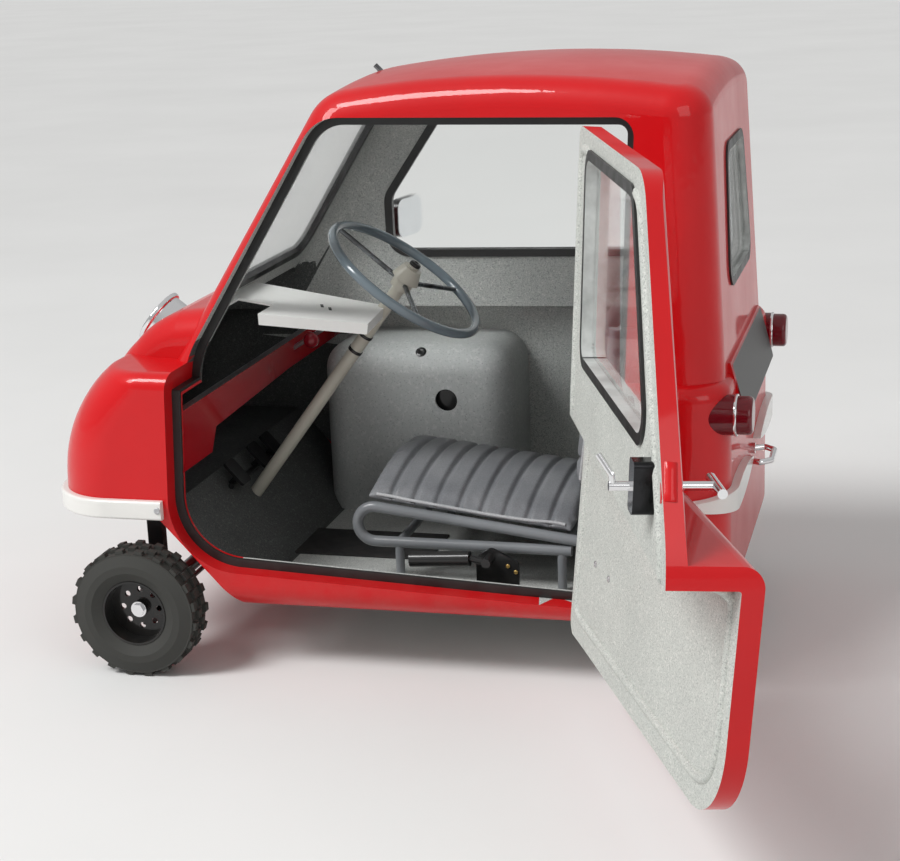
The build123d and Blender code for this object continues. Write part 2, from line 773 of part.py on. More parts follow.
def is_outer_lip(edge, proud):
    """Whether an edge lies level on a bumper's outer face."""
    middle = edge @ 0.5
    level = abs((edge @ 0).Z - (edge @ 1).Z) < 0.01
    reach = abs(middle.X) > HULL_FRONT_X + proud - 0.5 or abs(middle.Y) > HULL_HALF_FRONT
    return level and (reach or is_outer_corner(middle, proud))


def is_outer_corner(point, proud):
    """Whether a point lies on a bumper's rounded outer corner."""
    front = Vector(HULL_FRONT_X - HULL_FRONT_CORNER, HULL_HALF_FRONT - HULL_FRONT_CORNER, point.Z)
    rear = Vector(HULL_REAR_X + HULL_REAR_CORNER, HULL_HALF_REAR - HULL_REAR_CORNER, point.Z)
    near_front = abs((point - front).length - HULL_FRONT_CORNER - proud) < 3.0
    near_rear = abs((point - rear).length - HULL_REAR_CORNER - proud) < 3.0
    return near_front or near_rear


def lifting_handle():
    """Loop at the middle of the tail for lifting the car round."""
    root = HULL_REAR_X
    half = ((4, 44), (26, 56), (46, 36))
    corners = [(root - proud, y, HANDLE_Z) for proud, y in half]
    corners += [(x, -y, z) for x, y, z in reversed(corners)]
    loop = tube_path(corners, 8.0, HANDLE_RADIUS)
    for side in (-1, 1):
        foot = (root, side * half[0][1], HANDLE_Z)
        loop += rod(foot, (root - 7, foot[1], HANDLE_Z), 11.0)
    return loop - block((root, 0), (-100, 100), (0, 400))


def tail_lamp(side, outer):
    """Tail lamp on one side: base ring against the body and lens."""
    y = side * TAIL_LAMP_Y
    rim = rod((HULL_REAR_X - 8, y, TAIL_LAMP_Z), (HULL_REAR_X + 60, y, TAIL_LAMP_Z), TAIL_LAMP_RADIUS + 2)
    lens = rod((HULL_REAR_X - 8, y, TAIL_LAMP_Z), (HULL_REAR_X - 42, y, TAIL_LAMP_Z), TAIL_LAMP_RADIUS)
    lens = fillet(lens.edges().sort_by(Axis.X)[0], 8.0)
    return largest(rim - outer) + lens


def largest(shape):
    """Biggest solid of a shape."""
    return shape.solids().sort_by(SortBy.VOLUME)[-1]


def plate_plinth(outer):
    """Wedge that carries the number plate."""
    side = Polyline(PLATE_TOP, PLATE_LOW, (-640, PLATE_LOW[1]), (-640, PLATE_TOP[1]), close=True)
    wedge = prism(make_face(side), -PLATE_HALF, PLATE_HALF)
    return largest(wedge - outer)


def number_plate():
    """Blank plate on the plinth."""
    top = Vector(PLATE_TOP[0], 0, PLATE_TOP[1])
    low = Vector(PLATE_LOW[0], 0, PLATE_LOW[1])
    face = (top - low).normalized()
    middle = (top + low) / 2
    plane = Plane(origin=middle, x_dir=(0, 1, 0), z_dir=(-face.Z, 0, face.X))
    return plane * (Pos(0, 0, 1.5) * extrude(RectangleRounded(2 * PLATE_HALF, 108, 8), amount=1.5, both=True))


def mirror_piece(outer):
    """Outside mirror on the right, on its stem."""
    foot = (MIRROR_FOOT_X, -cab_half(MIRROR_FOOT_X, MIRROR_FOOT_Z), MIRROR_FOOT_Z)
    head = (MIRROR_HEAD[0] + 6, MIRROR_HEAD[1] + 8, MIRROR_HEAD[2])
    stem = rod(foot, head, 5.0)
    base = rod(foot, (foot[0], foot[1] - 6, foot[2]), 14.0)
    shell = extrude(RectangleRounded(86, 112, 24), amount=9, both=True)
    glass = Pos(*MIRROR_HEAD) * Rot(0, 0, -12) * Rot(0, 90, 0) * shell
    return largest((stem + base + glass) - outer)


# Wheels, steering and rear fork


def wheel_place(x, y):
    """Turn a wheel part from its own axis to its place; its outer side faces away from the car."""
    turn = 90 if y < 0 else -90
    return Pos(x, y, AXLE_Z) * Rot(turn, 0, 0)


def tyre():
    """Tyre with four staggered rows of block lugs, its axis along z."""
    half = TYRE_WIDTH / 2
    band_half = 2 * LUG_PITCH_ACROSS
    core = TYRE_RADIUS - LUG_HEIGHT
    outline = Polyline(
        (TYRE_BEAD_RADIUS, -half + 12),
        (TYRE_BEAD_RADIUS + 20, -half),
        (TYRE_BEAD_RADIUS + 34, -half),
        (core - 3, -band_half),
        (core - 3, band_half),
        (TYRE_BEAD_RADIUS + 34, half),
        (TYRE_BEAD_RADIUS + 20, half),
        (TYRE_BEAD_RADIUS, half - 12),
        close=True,
    )
    body = revolve(Plane.XZ * make_face(outline), Axis.Z)
    step = 360.0 / LUGS_PER_ROW
    flats = RegularPolygon(core, 2 * LUGS_PER_ROW, major_radius=False, rotation=step / 4)
    body += extrude(flats, amount=band_half, both=True) - Cylinder(TYRE_BEAD_RADIUS + 30, TYRE_WIDTH)
    crest = sqrt(TYRE_RADIUS**2 - (LUG_LENGTH / 2 - LUG_DRAFT) ** 2)
    side = Polyline(
        (core - 3, -LUG_LENGTH / 2),
        (crest, -LUG_LENGTH / 2 + LUG_DRAFT),
        (crest, LUG_LENGTH / 2 - LUG_DRAFT),
        (core - 3, LUG_LENGTH / 2),
        close=True,
    )
    lug = extrude(make_face(side), amount=LUG_WIDTH / 2, both=True)
    rows = [(place - 1.5) * LUG_PITCH_ACROSS for place in range(4)]
    lugs = [
        Rot(0, 0, step * (turn + row % 2 / 2)) * (Pos(0, 0, z) * lug)
        for row, z in enumerate(rows)
        for turn in range(LUGS_PER_ROW)
    ]
    return body + lugs


def rim(disc_low, disc_high, hub_low, hub_high):
    """Wheel rim with its disc and bored hub, axis along z."""
    half = TYRE_WIDTH / 2 - 10
    inner = TYRE_BEAD_RADIUS - RIM_WALL
    band = Cylinder(TYRE_BEAD_RADIUS, 2 * half) - Cylinder(inner, 2 * half + 2)
    disc = Pos(0, 0, disc_low) * extrude(Circle(inner + 1), amount=disc_high - disc_low)
    hub = Pos(0, 0, hub_low) * extrude(Circle(HUB_RADIUS), amount=hub_high - hub_low)
    for turn in range(RIM_HOLES):
        disc -= Rot(0, 0, turn * 360 / RIM_HOLES) * Pos(RIM_HOLE_CIRCLE, 0, 0) * Cylinder(RIM_HOLE_RADIUS, 200)
    return band + disc + hub - Cylinder(AXLE_PIN_RADIUS + FIT, 200)


def hub_cap():
    """Cap and hexagon over the hub, axis along z."""
    low = FRONT_HUB_HIGH
    hexagon = Pos(0, 0, low) * extrude(RegularPolygon(13.0, 6), amount=10)
    skirt = Pos(0, 0, low) * extrude(Circle(HUB_RADIUS), amount=4)
    return skirt + hexagon


def knuckle():
    """Left steering knuckle with its stub axle, steering arm and arm pin."""
    x, y = FRONT_AXLE_X, STEER_KINGPIN_Y
    half = KNUCKLE_HEIGHT / 2
    barrel = Pos(x, y, AXLE_Z) * Cylinder(KNUCKLE_RADIUS, KNUCKLE_HEIGHT)
    stub = rod((x, y + 8, AXLE_Z), (x, FRONT_WHEEL_Y + FRONT_HUB_HIGH - 1, AXLE_Z), AXLE_PIN_RADIUS)
    collar = rod((x, y + 8, AXLE_Z), (x, FRONT_WHEEL_Y + FRONT_HUB_LOW - 1, AXLE_Z), AXLE_PIN_RADIUS + 4)
    end_x = x - STEER_ARM_LENGTH
    arm = block((end_x, x), (y - 7, y + 7), (-6, 4)) + Pos(end_x, y, -1) * Cylinder(10, 10)
    pin = Pos(end_x, y, 0) * extrude(Circle(ARM_PIN_RADIUS), amount=TIE_ROD_Z + TIE_ROD_RADIUS + 1)
    bore = Pos(x, y, AXLE_Z) * Cylinder(KINGPIN_RADIUS + FIT, 4 * half)
    return barrel + stub + collar + arm + pin - bore


def tie_rod():
    """Rod that joins the two steering arms."""
    x = FRONT_AXLE_X - STEER_ARM_LENGTH
    y = STEER_KINGPIN_Y
    bar = rod((x, -y + 8, TIE_ROD_Z), (x, y - 8, TIE_ROD_Z), TIE_ROD_RADIUS - 1)
    for side in (-1, 1):
        eye = Pos(x, side * y, TIE_ROD_Z) * Cylinder(10, 2 * TIE_ROD_RADIUS)
        bar += eye
        bar -= Pos(x, side * y, TIE_ROD_Z) * Cylinder(ARM_PIN_RADIUS + FIT, 40)
    return bar


def front_axle_beam():
    """Cross tube with a yoke and kingpin at each end and legs up to the nose floor."""
    x = FRONT_AXLE_X
    beam = rod((x, -YOKE_WEB_Y - 2, 0), (x, YOKE_WEB_Y + 2, 0), BEAM_RADIUS)
    for side in (-1, 1):
        near = side * YOKE_WEB_Y
        far = side * STEER_KINGPIN_Y
        web = block((x - 13, x + 13), sorted((near, near + side * 12)), (-YOKE_TOP, YOKE_TOP))
        beam += web
        for low, high in ((-YOKE_TOP, -YOKE_BOTTOM), (YOKE_BOTTOM, YOKE_TOP)):
            beam += block((x - 13, x + 13), sorted((near, far)), (low, high))
            beam += Pos(x, far, (low + high) / 2) * Cylinder(13, high - low)
        beam += Pos(x, far, 0) * Cylinder(KINGPIN_RADIUS, 2 * YOKE_TOP)
        leg_y = sorted((side * (YOKE_WEB_Y - 26), side * (YOKE_WEB_Y - 6)))
        beam += block((x - 16, x + 16), leg_y, (0, NOSE_FLOOR_Z))
    return beam


def rear_fork():
    """Two arms from pivots on the wheel box to the axle pin."""
    pivot = (FORK_PIVOT_X, FORK_PIVOT_Z)
    run = Vector(pivot[0] - REAR_AXLE_X, 0, pivot[1] - AXLE_Z)
    middle = Vector(REAR_AXLE_X, 0, AXLE_Z) + run / 2
    fork = rod((REAR_AXLE_X, -FORK_ARM_HIGH, AXLE_Z), (REAR_AXLE_X, FORK_ARM_HIGH, AXLE_Z), AXLE_PIN_RADIUS)
    for side in (-1, 1):
        low, high = sorted((side * FORK_ARM_LOW, side * FORK_ARM_HIGH))
        plane = Plane(origin=(middle.X, high, middle.Z), x_dir=run, z_dir=(0, -1, 0))
        fork += plane * extrude(SlotCenterToCenter(run.length, 28), amount=high - low)
        fork += rod((pivot[0], low, pivot[1]), (pivot[0], side * REAR_BOX_HALF, pivot[1]), 9.0)
        fork += rod((pivot[0], high, pivot[1]), (pivot[0], side * REAR_BOX_HALF, pivot[1]), 9.0)
    return fork


def column_plane(along):
    """Plane across the steering axis, some way from the wheel's centre."""
    low = Vector(COLUMN_LOW[0], COLUMN_Y, COLUMN_LOW[1])
    centre = Vector(STEERING_CENTRE[0], COLUMN_Y, STEERING_CENTRE[1])
    plane = Plane(origin=centre, x_dir=(0, 1, 0), z_dir=centre - low)
    return plane.offset(along)


def steering_column(void):
    """Column tube from the toe board to below the wheel."""
    tube = column_plane(-COLUMN_LENGTH) * extrude(Circle(COLUMN_RADIUS), amount=COLUMN_LENGTH - COLUMN_GAP)
    bore = column_plane(-COLUMN_GAP - SPIGOT_LENGTH - 6) * extrude(Circle(SPIGOT_RADIUS + FIT), amount=200)
    return (tube & void) - bore


def steering_wheel():
    """Rim, three spokes, conical boss and the spigot that runs in the column."""
    wheel = revolve(Plane.XZ * (Pos(STEERING_WHEEL_RADIUS, 0) * Circle(STEERING_RIM_RADIUS)), Axis.Z)
    boss = Pos(0, 0, 2 - COLUMN_GAP) * extrude(Circle(22), amount=COLUMN_GAP)
    spigot_low = -COLUMN_GAP - SPIGOT_LENGTH
    spigot = Pos(0, 0, spigot_low) * extrude(Circle(SPIGOT_RADIUS), amount=SPIGOT_LENGTH + 10)
    middle = boss + spigot
    for turn in (-90, 30, 150):
        middle += Rot(0, 0, turn) * rod((18, 0, -7), (STEERING_WHEEL_RADIUS, 0, 0), 5.0)
    middle += Cone(30, 20, 28, align=(Align.CENTER, Align.CENTER, Align.MIN))
    middle += Pos(0, 0, 27) * Cylinder(12, 7, align=(Align.CENTER, Align.CENTER, Align.MIN))
    return column_plane(0) * (wheel + middle)


# Cab furniture


def steering_shelf(shell):
    """Dash shelf from the screen's foot to the column, with a lip along its free edges."""
    lean = radians(SHELF_FALL)
    slope = Plane(origin=(SHELF_X, 0, SHELF_Z), x_dir=(cos(lean), 0, sin(lean)), z_dir=(-sin(lean), 0, cos(lean)))
    plate = extrude(make_face(Polyline(*SHELF_PLAN, close=True)), amount=SHELF_THICKNESS)
    free_edge = Polyline(*SHELF_PLAN[1:4])
    band = offset(free_edge, amount=SHELF_THICKNESS, side=Side.LEFT)
    lip = Pos(0, 0, -SHELF_LIP) * extrude(make_face(band), amount=SHELF_LIP + SHELF_THICKNESS)
    hole = column_plane(-300) * extrude(Circle(COLUMN_RADIUS), amount=400)
    half = LATCH_BOX[0] / 2
    inner = cab_half(LATCH_X, LATCH_Z) - DOOR_THICKNESS - LATCH_BOX[2] - LATCH_LEVER_DEPTH
    notch = block(
        (LATCH_X - half - LATCH_CLEARANCE, LATCH_X + half + 2 * LATCH_CLEARANCE),
        (inner - LATCH_CLEARANCE, HULL_HALF_FRONT),
        (SHELF_Z - 4 * SHELF_LIP, SHELF_Z + 2 * SHELF_LIP),
    )
    return largest(slope * (plate + lip) - hole - notch - shell)


def front_crossmember(shell, seal):
    """Rail across the cab ahead of the driver's knees, with a deep gusset at the left."""
    left = Vector(*CROSSMEMBER_LEFT)
    run = Vector(*CROSSMEMBER_RIGHT) - left
    level = Vector(run.X, run.Y, 0)
    along = level.normalized()
    plane = Plane(origin=left, x_dir=along, z_dir=along.cross(Vector(0, 0, 1)))
    slope = run.Z / level.length
    depths = (*CROSSMEMBER_DEPTHS, (level.length, CROSSMEMBER_DEPTHS[-1][1]))
    low_edge = [(x, slope * x - depth) for x, depth in depths]
    face = make_face(Polyline((0, 0), *low_edge, (level.length, run.Z), close=True))
    rail = plane * extrude(face, amount=CROSSMEMBER_THICKNESS / 2, both=True)
    return largest(rail - shell - seal)


def engine_cover(void):
    """Rounded cover over the engine, against the right wall."""
    wall = ENGINE_COVER_WALL
    rear, front = ENGINE_COVER_REAR_X, ENGINE_COVER_FRONT_X
    outer = block((rear, front), (-460, ENGINE_COVER_Y), (-60, ENGINE_COVER_TOP))
    top = outer.edges().filter_by(lambda e: e.center().Z > ENGINE_COVER_TOP - 1 and e.center().Y > -459)
    sides = outer.edges().filter_by(lambda e: abs(e.center().Y - ENGINE_COVER_Y) < 1 and abs(e.tangent_at(0.5).Z) > 0.9)
    outer = fillet(top + sides, ENGINE_COVER_RADIUS)
    inner = block((rear + wall, front - wall), (-480, ENGINE_COVER_Y - wall), (-80, ENGINE_COVER_TOP - wall))
    top = inner.edges().filter_by(lambda e: e.center().Z > ENGINE_COVER_TOP - wall - 1 and e.center().Y > -479)
    sides = inner.edges().filter_by(
        lambda e: abs(e.center().Y - ENGINE_COVER_Y + wall) < 1 and abs(e.tangent_at(0.5).Z) > 0.9
    )
    inner = fillet(top + sides, ENGINE_COVER_RADIUS - wall)
    cover = (outer & void) - inner
    hole_x, hole_z, hole_radius = ENGINE_COVER_HOLE
    return cover - rod((hole_x, ENGINE_COVER_Y + 30, hole_z), (hole_x, ENGINE_COVER_Y - 60, hole_z), hole_radius)


def engine_block():
    """Engine and gearbox as one plain block."""
    return block(ENGINE_X, ENGINE_Y, ENGINE_Z)


def toe_plane():
    """Plane of the toe board's inner face, its z axis pointing into the cab."""
    run = Vector(TOE_BOARD_TOP_X - TOE_BOARD_FOOT_X, 0, NOSE_FLOOR_Z).normalized()
    outer_x = TOE_BOARD_FOOT_X + (TOE_BOARD_TOP_X - TOE_BOARD_FOOT_X) * PEDAL_Z / NOSE_FLOOR_Z
    plane = Plane(origin=(outer_x, 0, PEDAL_Z), x_dir=(0, 1, 0), z_dir=(-run.Z, 0, run.X))
    return plane.offset(WALL)


def pedals():
    """Three pads on one cross rod that rests on the toe board."""
    pads = Rot(0, 90, 0) * Cylinder(PEDAL_ROD_RADIUS, PEDAL_Y[-1] - PEDAL_Y[0] + 40)
    pads = Pos((PEDAL_Y[0] + PEDAL_Y[-1]) / 2, 0, PEDAL_ROD_RADIUS) * pads
    for y in PEDAL_Y:
        pads += Pos(y, -6, PEDAL_LIFT / 2) * Box(10, 12, PEDAL_LIFT)
        pads += Pos(y, -14, PEDAL_LIFT) * extrude(RectangleRounded(46, 62, 8), amount=6)
    return toe_plane() * pads


def gear_lever(rail):
    """Bent rod with its ball, from the crossmember's face."""
    stem = tube_path(GEAR_ROD, GEAR_ROD_BEND, GEAR_ROD_RADIUS)
    ball = Pos(*GEAR_BALL) * Sphere(GEAR_BALL_RADIUS)
    return largest(stem + ball - rail)


def seat_frame():
    """Two tube hairpins with cross tubes, feet and backrest uprights."""
    frame = None
    for y in (SEAT_Y - SEAT_HALF + SEAT_TUBE_RADIUS, SEAT_Y + SEAT_HALF - SEAT_TUBE_RADIUS):
        points = [(x, y, z) for x, z in SEAT_HAIRPIN]
        side = tube_path(points, SEAT_BEND, SEAT_TUBE_RADIUS)
        for x in SEAT_FEET_X:
            side += rod((x, y, WALL), (x, y, SEAT_HAIRPIN[0][1]), SEAT_TUBE_RADIUS - 2)
        frame = side if frame is None else frame + side
    low, high = SEAT_Y - SEAT_HALF + SEAT_TUBE_RADIUS, SEAT_Y + SEAT_HALF - SEAT_TUBE_RADIUS
    for x in SEAT_FEET_X:
        frame += rod((x, low, SEAT_HAIRPIN[0][1]), (x, high, SEAT_HAIRPIN[0][1]), SEAT_TUBE_RADIUS - 2)
    top = SEAT_HAIRPIN[-1]
    return frame + rod((top[0], low, top[1] - 20), (top[0], high, top[1] - 20), SEAT_TUBE_RADIUS - 2)


def seat_slope():
    """Plane along the tops of the frame's upper tubes, its z axis pointing forward and up."""
    (front_x, front_z), (rear_x, rear_z) = SEAT_HAIRPIN[2:4]
    run = Vector(front_x - rear_x, 0, front_z - rear_z).normalized()
    lift = SEAT_TUBE_RADIUS / run.X
    return Plane(origin=(rear_x, SEAT_Y, rear_z + lift), x_dir=(0, 1, 0), z_dir=run)


def seat_cushion():
    """Crowned cushion across the frame."""
    plane = seat_slope()
    edge = SEAT_EDGE
    face = make_face(
        Polyline((-SEAT_HALF, edge), (-SEAT_HALF, 0), (SEAT_HALF, 0), (SEAT_HALF, edge))
        + ThreePointArc((-SEAT_HALF, edge), (0, edge + SEAT_CROWN), (SEAT_HALF, edge))
    )
    up = 1 if plane.y_dir.Z > 0 else -1
    body = extrude(Rot(0, 0, 0) * (face if up > 0 else mirror(face, about=Plane.XZ)), amount=SEAT_LENGTH)
    return plane * (Pos(0, 0, SEAT_REAR_GAP) * body)


def seat_backrest():
    """Back panel in front of the uprights."""
    low = Vector(SEAT_HAIRPIN[3][0], 0, SEAT_HAIRPIN[3][1])
    high = Vector(SEAT_HAIRPIN[4][0], 0, SEAT_HAIRPIN[4][1])
    run = (high - low).normalized()
    plane = Plane(origin=(low.X, SEAT_Y, low.Z), x_dir=(0, 1, 0), z_dir=run)
    forward = 1 if plane.y_dir.X > 0 else -1
    near = forward * SEAT_TUBE_RADIUS
    far = forward * (SEAT_TUBE_RADIUS + SEAT_BACK_THICKNESS)
    pad = block((-SEAT_HALF, SEAT_HALF), sorted((near, far)), SEAT_BACK_RANGE)
    return plane * fillet(pad.edges(), 14.0)


def handbrake():
    """Upright plate on the floor with the brake lever."""
    plate_y = HANDBRAKE_PLATE_Y
    x_low, x_high = HANDBRAKE_PLATE_X
    side = rounded([(x_low, WALL), (x_high, WALL), (x_high, 92), (x_high - 30, 112), (x_low, 84)], (4, 4, 14, 14, 10))
    plate = prism(side, *plate_y)
    pivot = (x_high - 28, HANDBRAKE_GRIP_Y, 92)
    lever = rod(pivot, HANDBRAKE_GRIP[0], 7.0) + rod(HANDBRAKE_GRIP[0], HANDBRAKE_GRIP[1], 15.0)
    pin = rod((pivot[0], plate_y[0], pivot[2]), (pivot[0], HANDBRAKE_GRIP_Y + 9, pivot[2]), 9.0)
    return plate + lever + pin


def wiper(outer):
    """Spindle through the roof's brow, with the arm and blade along the screen's top."""
    foot = Vector(*WIPER_FOOT)
    lean = radians(WIPER_LEAN)
    normal = Vector(cos(lean), 0, sin(lean))
    spindle = rod(foot - normal * 26, foot + normal * 16, WIPER_SPINDLE)
    knob = rod(foot - normal * 44, foot - normal * 26, 12.0)
    end = foot + normal * 12
    tip = Vector(*WIPER_TIP)
    arm = rod(end, tip, 4.0)
    blade = rod(tip + Vector(0, 110, 0), tip - Vector(0, 110, 0), 5.0)
    return spindle + knob + arm + blade


def wiper_hole():
    """Hole in the roof's brow for the wiper's spindle."""
    foot = Vector(*WIPER_FOOT)
    lean = radians(WIPER_LEAN)
    normal = Vector(cos(lean), 0, sin(lean))
    return rod(foot - normal * 40, foot + normal * 40, WIPER_SPINDLE)


def main():
    """Build and write every piece."""
    os.makedirs("parts", exist_ok=True)
    parts = {}
    outer = body_form(0.0)
    void = body_form(WALL)
    shell = body_shell(outer, void)
    lower = shell & block((-900, 900), (-600, 600), (-50, PANEL_JOINT_Z))
    upper = shell & block((-900, 900), (-600, 600), (PANEL_JOINT_Z, 1200))
    screen, side, rear = window_planes()
    windows = (
        ("windscreen", screen, screen_outline()),
        ("side_glass", side, side_outline()),
        ("rear_glass", rear, rear_outline()),
    )
    for name, plane, outline in windows:
        upper -= window_cut(plane, outline)
        parts[name] = window_glass(plane, outline)
        seal = window_seal(plane, outline, WALL)
        parts[name.replace("_glass", "") + "_seal"] = largest(seal - upper)
    upper -= headlamp_hole()
    upper -= wiper_hole()
    upper += plate_plinth(outer)
    parts["upper_body"] = upper
    parts["floor_pan"] = floor_pan()
    parts["lower_body"] = lower - floor_region() - rear_slot()
    parts["rear_wheel_box"] = rear_wheel_box(void)
    parts["door_opening_seal"] = door_seal()
    parts["front_crossmember"] = front_crossmember(shell, parts["door_opening_seal"])
    parts["steering_shelf"] = steering_shelf(shell)
    parts["engine_cover"] = engine_cover(void)
    parts["engine_block"] = engine_block()
    parts["pedals"] = pedals()
    parts["gear_lever"] = gear_lever(parts["front_crossmember"])
    parts["seat_frame"] = seat_frame()
    parts["seat_cushion"] = seat_cushion()
    parts["seat_backrest"] = seat_backrest()
    parts["handbrake"] = handbrake()
    parts["steering_column"] = steering_column(void)
    parts["steering_wheel"] = steering_wheel()

    parts["door_panel"] = swing_open(door_panel(outer))
    plane, outline = door_plane(), door_window_outline()
    parts["door_glass"] = swing_open(window_glass(plane, outline))
    parts["door_window_seal"] = swing_open(window_seal(plane, outline, DOOR_THICKNESS))
    parts["door_latch"] = swing_open(door_latch())
    parts["door_handle"] = swing_open(door_handle())
    for name, z in zip(("lower", "upper"), HINGE_HEIGHTS):
        parts["hinge_body_" + name] = hinge_body_leaf(z, outer)
        parts["hinge_door_" + name] = hinge_door_leaf(z, outer)

    parts["headlamp_bezel"] = headlamp_bezel()
    parts["headlamp_lens"] = headlamp_lens()
    bumper = front_bumper(outer)
    parts["front_bumper_left"] = bumper
    parts["front_bumper_right"] = mirrored(bumper)
    bumper = rear_bumper(outer)
    parts["rear_bumper_left"] = bumper
    parts["rear_bumper_right"] = mirrored(bumper)
    parts["lifting_handle"] = lifting_handle()
    parts["tail_lamp_left"] = tail_lamp(1, outer)
    parts["tail_lamp_right"] = tail_lamp(-1, outer)
    parts["number_plate"] = number_plate()
    parts["mirror"] = mirror_piece(outer)
    parts["wiper"] = wiper(outer)

    parts["front_axle_beam"] = front_axle_beam()
    parts["rear_fork"] = rear_fork()
    left_knuckle = knuckle()
    parts["knuckle_left"] = left_knuckle
    parts["knuckle_right"] = mirrored(left_knuckle)
    parts["tie_rod"] = tie_rod()
    front_rim = rim(FRONT_DISC_LOW, FRONT_DISC_HIGH, FRONT_HUB_LOW, FRONT_HUB_HIGH) + hub_cap()
    rear_rim = rim(-REAR_DISC_HALF, REAR_DISC_HALF, -REAR_HUB_HALF, REAR_HUB_HALF)
    wheels = (
        ("front_left", FRONT_AXLE_X, FRONT_WHEEL_Y, front_rim),
        ("front_right", FRONT_AXLE_X, -FRONT_WHEEL_Y, front_rim),
        ("rear", REAR_AXLE_X, 0.0, rear_rim),
    )
    for name, x, y, wheel_rim in wheels:
        place = wheel_place(x, y)
        parts["tyre_" + name] = place * tyre()
        parts["rim_" + name] = place * wheel_rim

    for name, shape in parts.items():
        export_step(shape, f"parts/{name}.step")


if __name__ == "__main__":
    main()
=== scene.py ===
"""Looks of a one-seat, three-wheeled microcar that stands with its side door open."""
import logging
import math
from dataclasses import dataclass, field
from enum import Enum
from typing import Callable, Sequence

import bmesh
import bpy
from mathutils import Matrix, Vector
from mathutils.bvhtree import BVHTree


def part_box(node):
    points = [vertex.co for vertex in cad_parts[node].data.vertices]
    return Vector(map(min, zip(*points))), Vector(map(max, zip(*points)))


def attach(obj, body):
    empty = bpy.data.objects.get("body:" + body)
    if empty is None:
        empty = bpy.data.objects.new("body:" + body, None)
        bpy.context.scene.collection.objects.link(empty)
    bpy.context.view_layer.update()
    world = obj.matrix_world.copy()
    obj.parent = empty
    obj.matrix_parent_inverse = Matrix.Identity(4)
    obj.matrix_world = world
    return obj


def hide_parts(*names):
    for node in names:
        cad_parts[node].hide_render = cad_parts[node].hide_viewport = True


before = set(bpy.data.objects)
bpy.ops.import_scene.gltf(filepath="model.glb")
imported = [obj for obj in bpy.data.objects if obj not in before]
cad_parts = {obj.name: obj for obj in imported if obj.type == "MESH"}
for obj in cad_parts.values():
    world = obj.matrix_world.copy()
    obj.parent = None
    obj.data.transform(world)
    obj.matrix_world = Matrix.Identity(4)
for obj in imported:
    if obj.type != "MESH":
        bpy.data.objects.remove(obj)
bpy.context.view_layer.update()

LOG = logging.getLogger("microcar")
Color = tuple[float, float, float]
Point = tuple[float, float, float]
Pixel = tuple[float, float]
Socket = bpy.types.NodeSocket
CAB_BODY = "body_shell"
DOOR_BODY = "door"


# Node graphs
class Graph:
    """A node tree with short calls for its nodes and links."""

    def __init__(self, tree: bpy.types.NodeTree) -> None:
        """Keeps the tree that the nodes go into."""
        self.tree = tree

    def add(self, kind: str, inputs: dict | None = None, **settings: object) -> bpy.types.Node:
        """Adds a node.

        Args:
            kind: The node's type name.
            inputs: Socket name or number to a value or to another node's output.
            **settings: The node's own properties.

        Returns:
            The new node.
        """
        node = self.tree.nodes.new(kind)
        for name, value in settings.items():
            setattr(node, name, value)
        for name, value in (inputs or {}).items():
            self.feed(node.inputs[name], value)
        return node

    def feed(self, socket: Socket, value: object) -> None:
        """Links an output to a socket, or sets the socket's own value.

        Args:
            socket: The input to feed.
            value: Another node's output, or a number, a name or a colour.
        """
        if isinstance(value, Socket):
            self.tree.links.new(value, socket)
        elif isinstance(value, tuple) and len(value) == 3 and socket.type == "RGBA":
            socket.default_value = (*value, 1.0)
        else:
            socket.default_value = value

    def place(self) -> Socket:
        """Adds the piece's own coordinates and returns them."""
        return self.add("ShaderNodeTexCoord").outputs["Object"]

    def math(self, operation: str, a: object, b: object = 0.0, clamp: bool = False) -> Socket:
        """Adds a math node and returns its output."""
        return self.add("ShaderNodeMath", {0: a, 1: b}, operation=operation, use_clamp=clamp).outputs[0]

    def span(self, value: object, low: object, high: object, start: float = 0.0, stop: float = 1.0) -> Socket:
        """Adds a clamped map from one range to another and returns its output."""
        return self.add("ShaderNodeMapRange", {0: value, 1: low, 2: high, 3: start, 4: stop}).outputs[0]

    def mix(self, share: object, a: object, b: object) -> Socket:
        """Adds a colour mix.

        Args:
            share: How much of the second colour there is.
            a: The first colour.
            b: The second colour.

        Returns:
            The mixed colour.
        """
        node = self.add("ShaderNodeMix", data_type="RGBA")
        for number, value in ((0, share), (6, a), (7, b)):
            self.feed(node.inputs[number], value)
        return node.outputs[2]

    def noise(self, vector: object, scale: object, detail: float = 3.0, rough: float = 0.55) -> Socket:
        """Adds a noise texture and returns its value."""
        inputs = {"Vector": vector, "Scale": scale, "Detail": detail, "Roughness": rough}
        return self.add("ShaderNodeTexNoise", inputs).outputs[0]


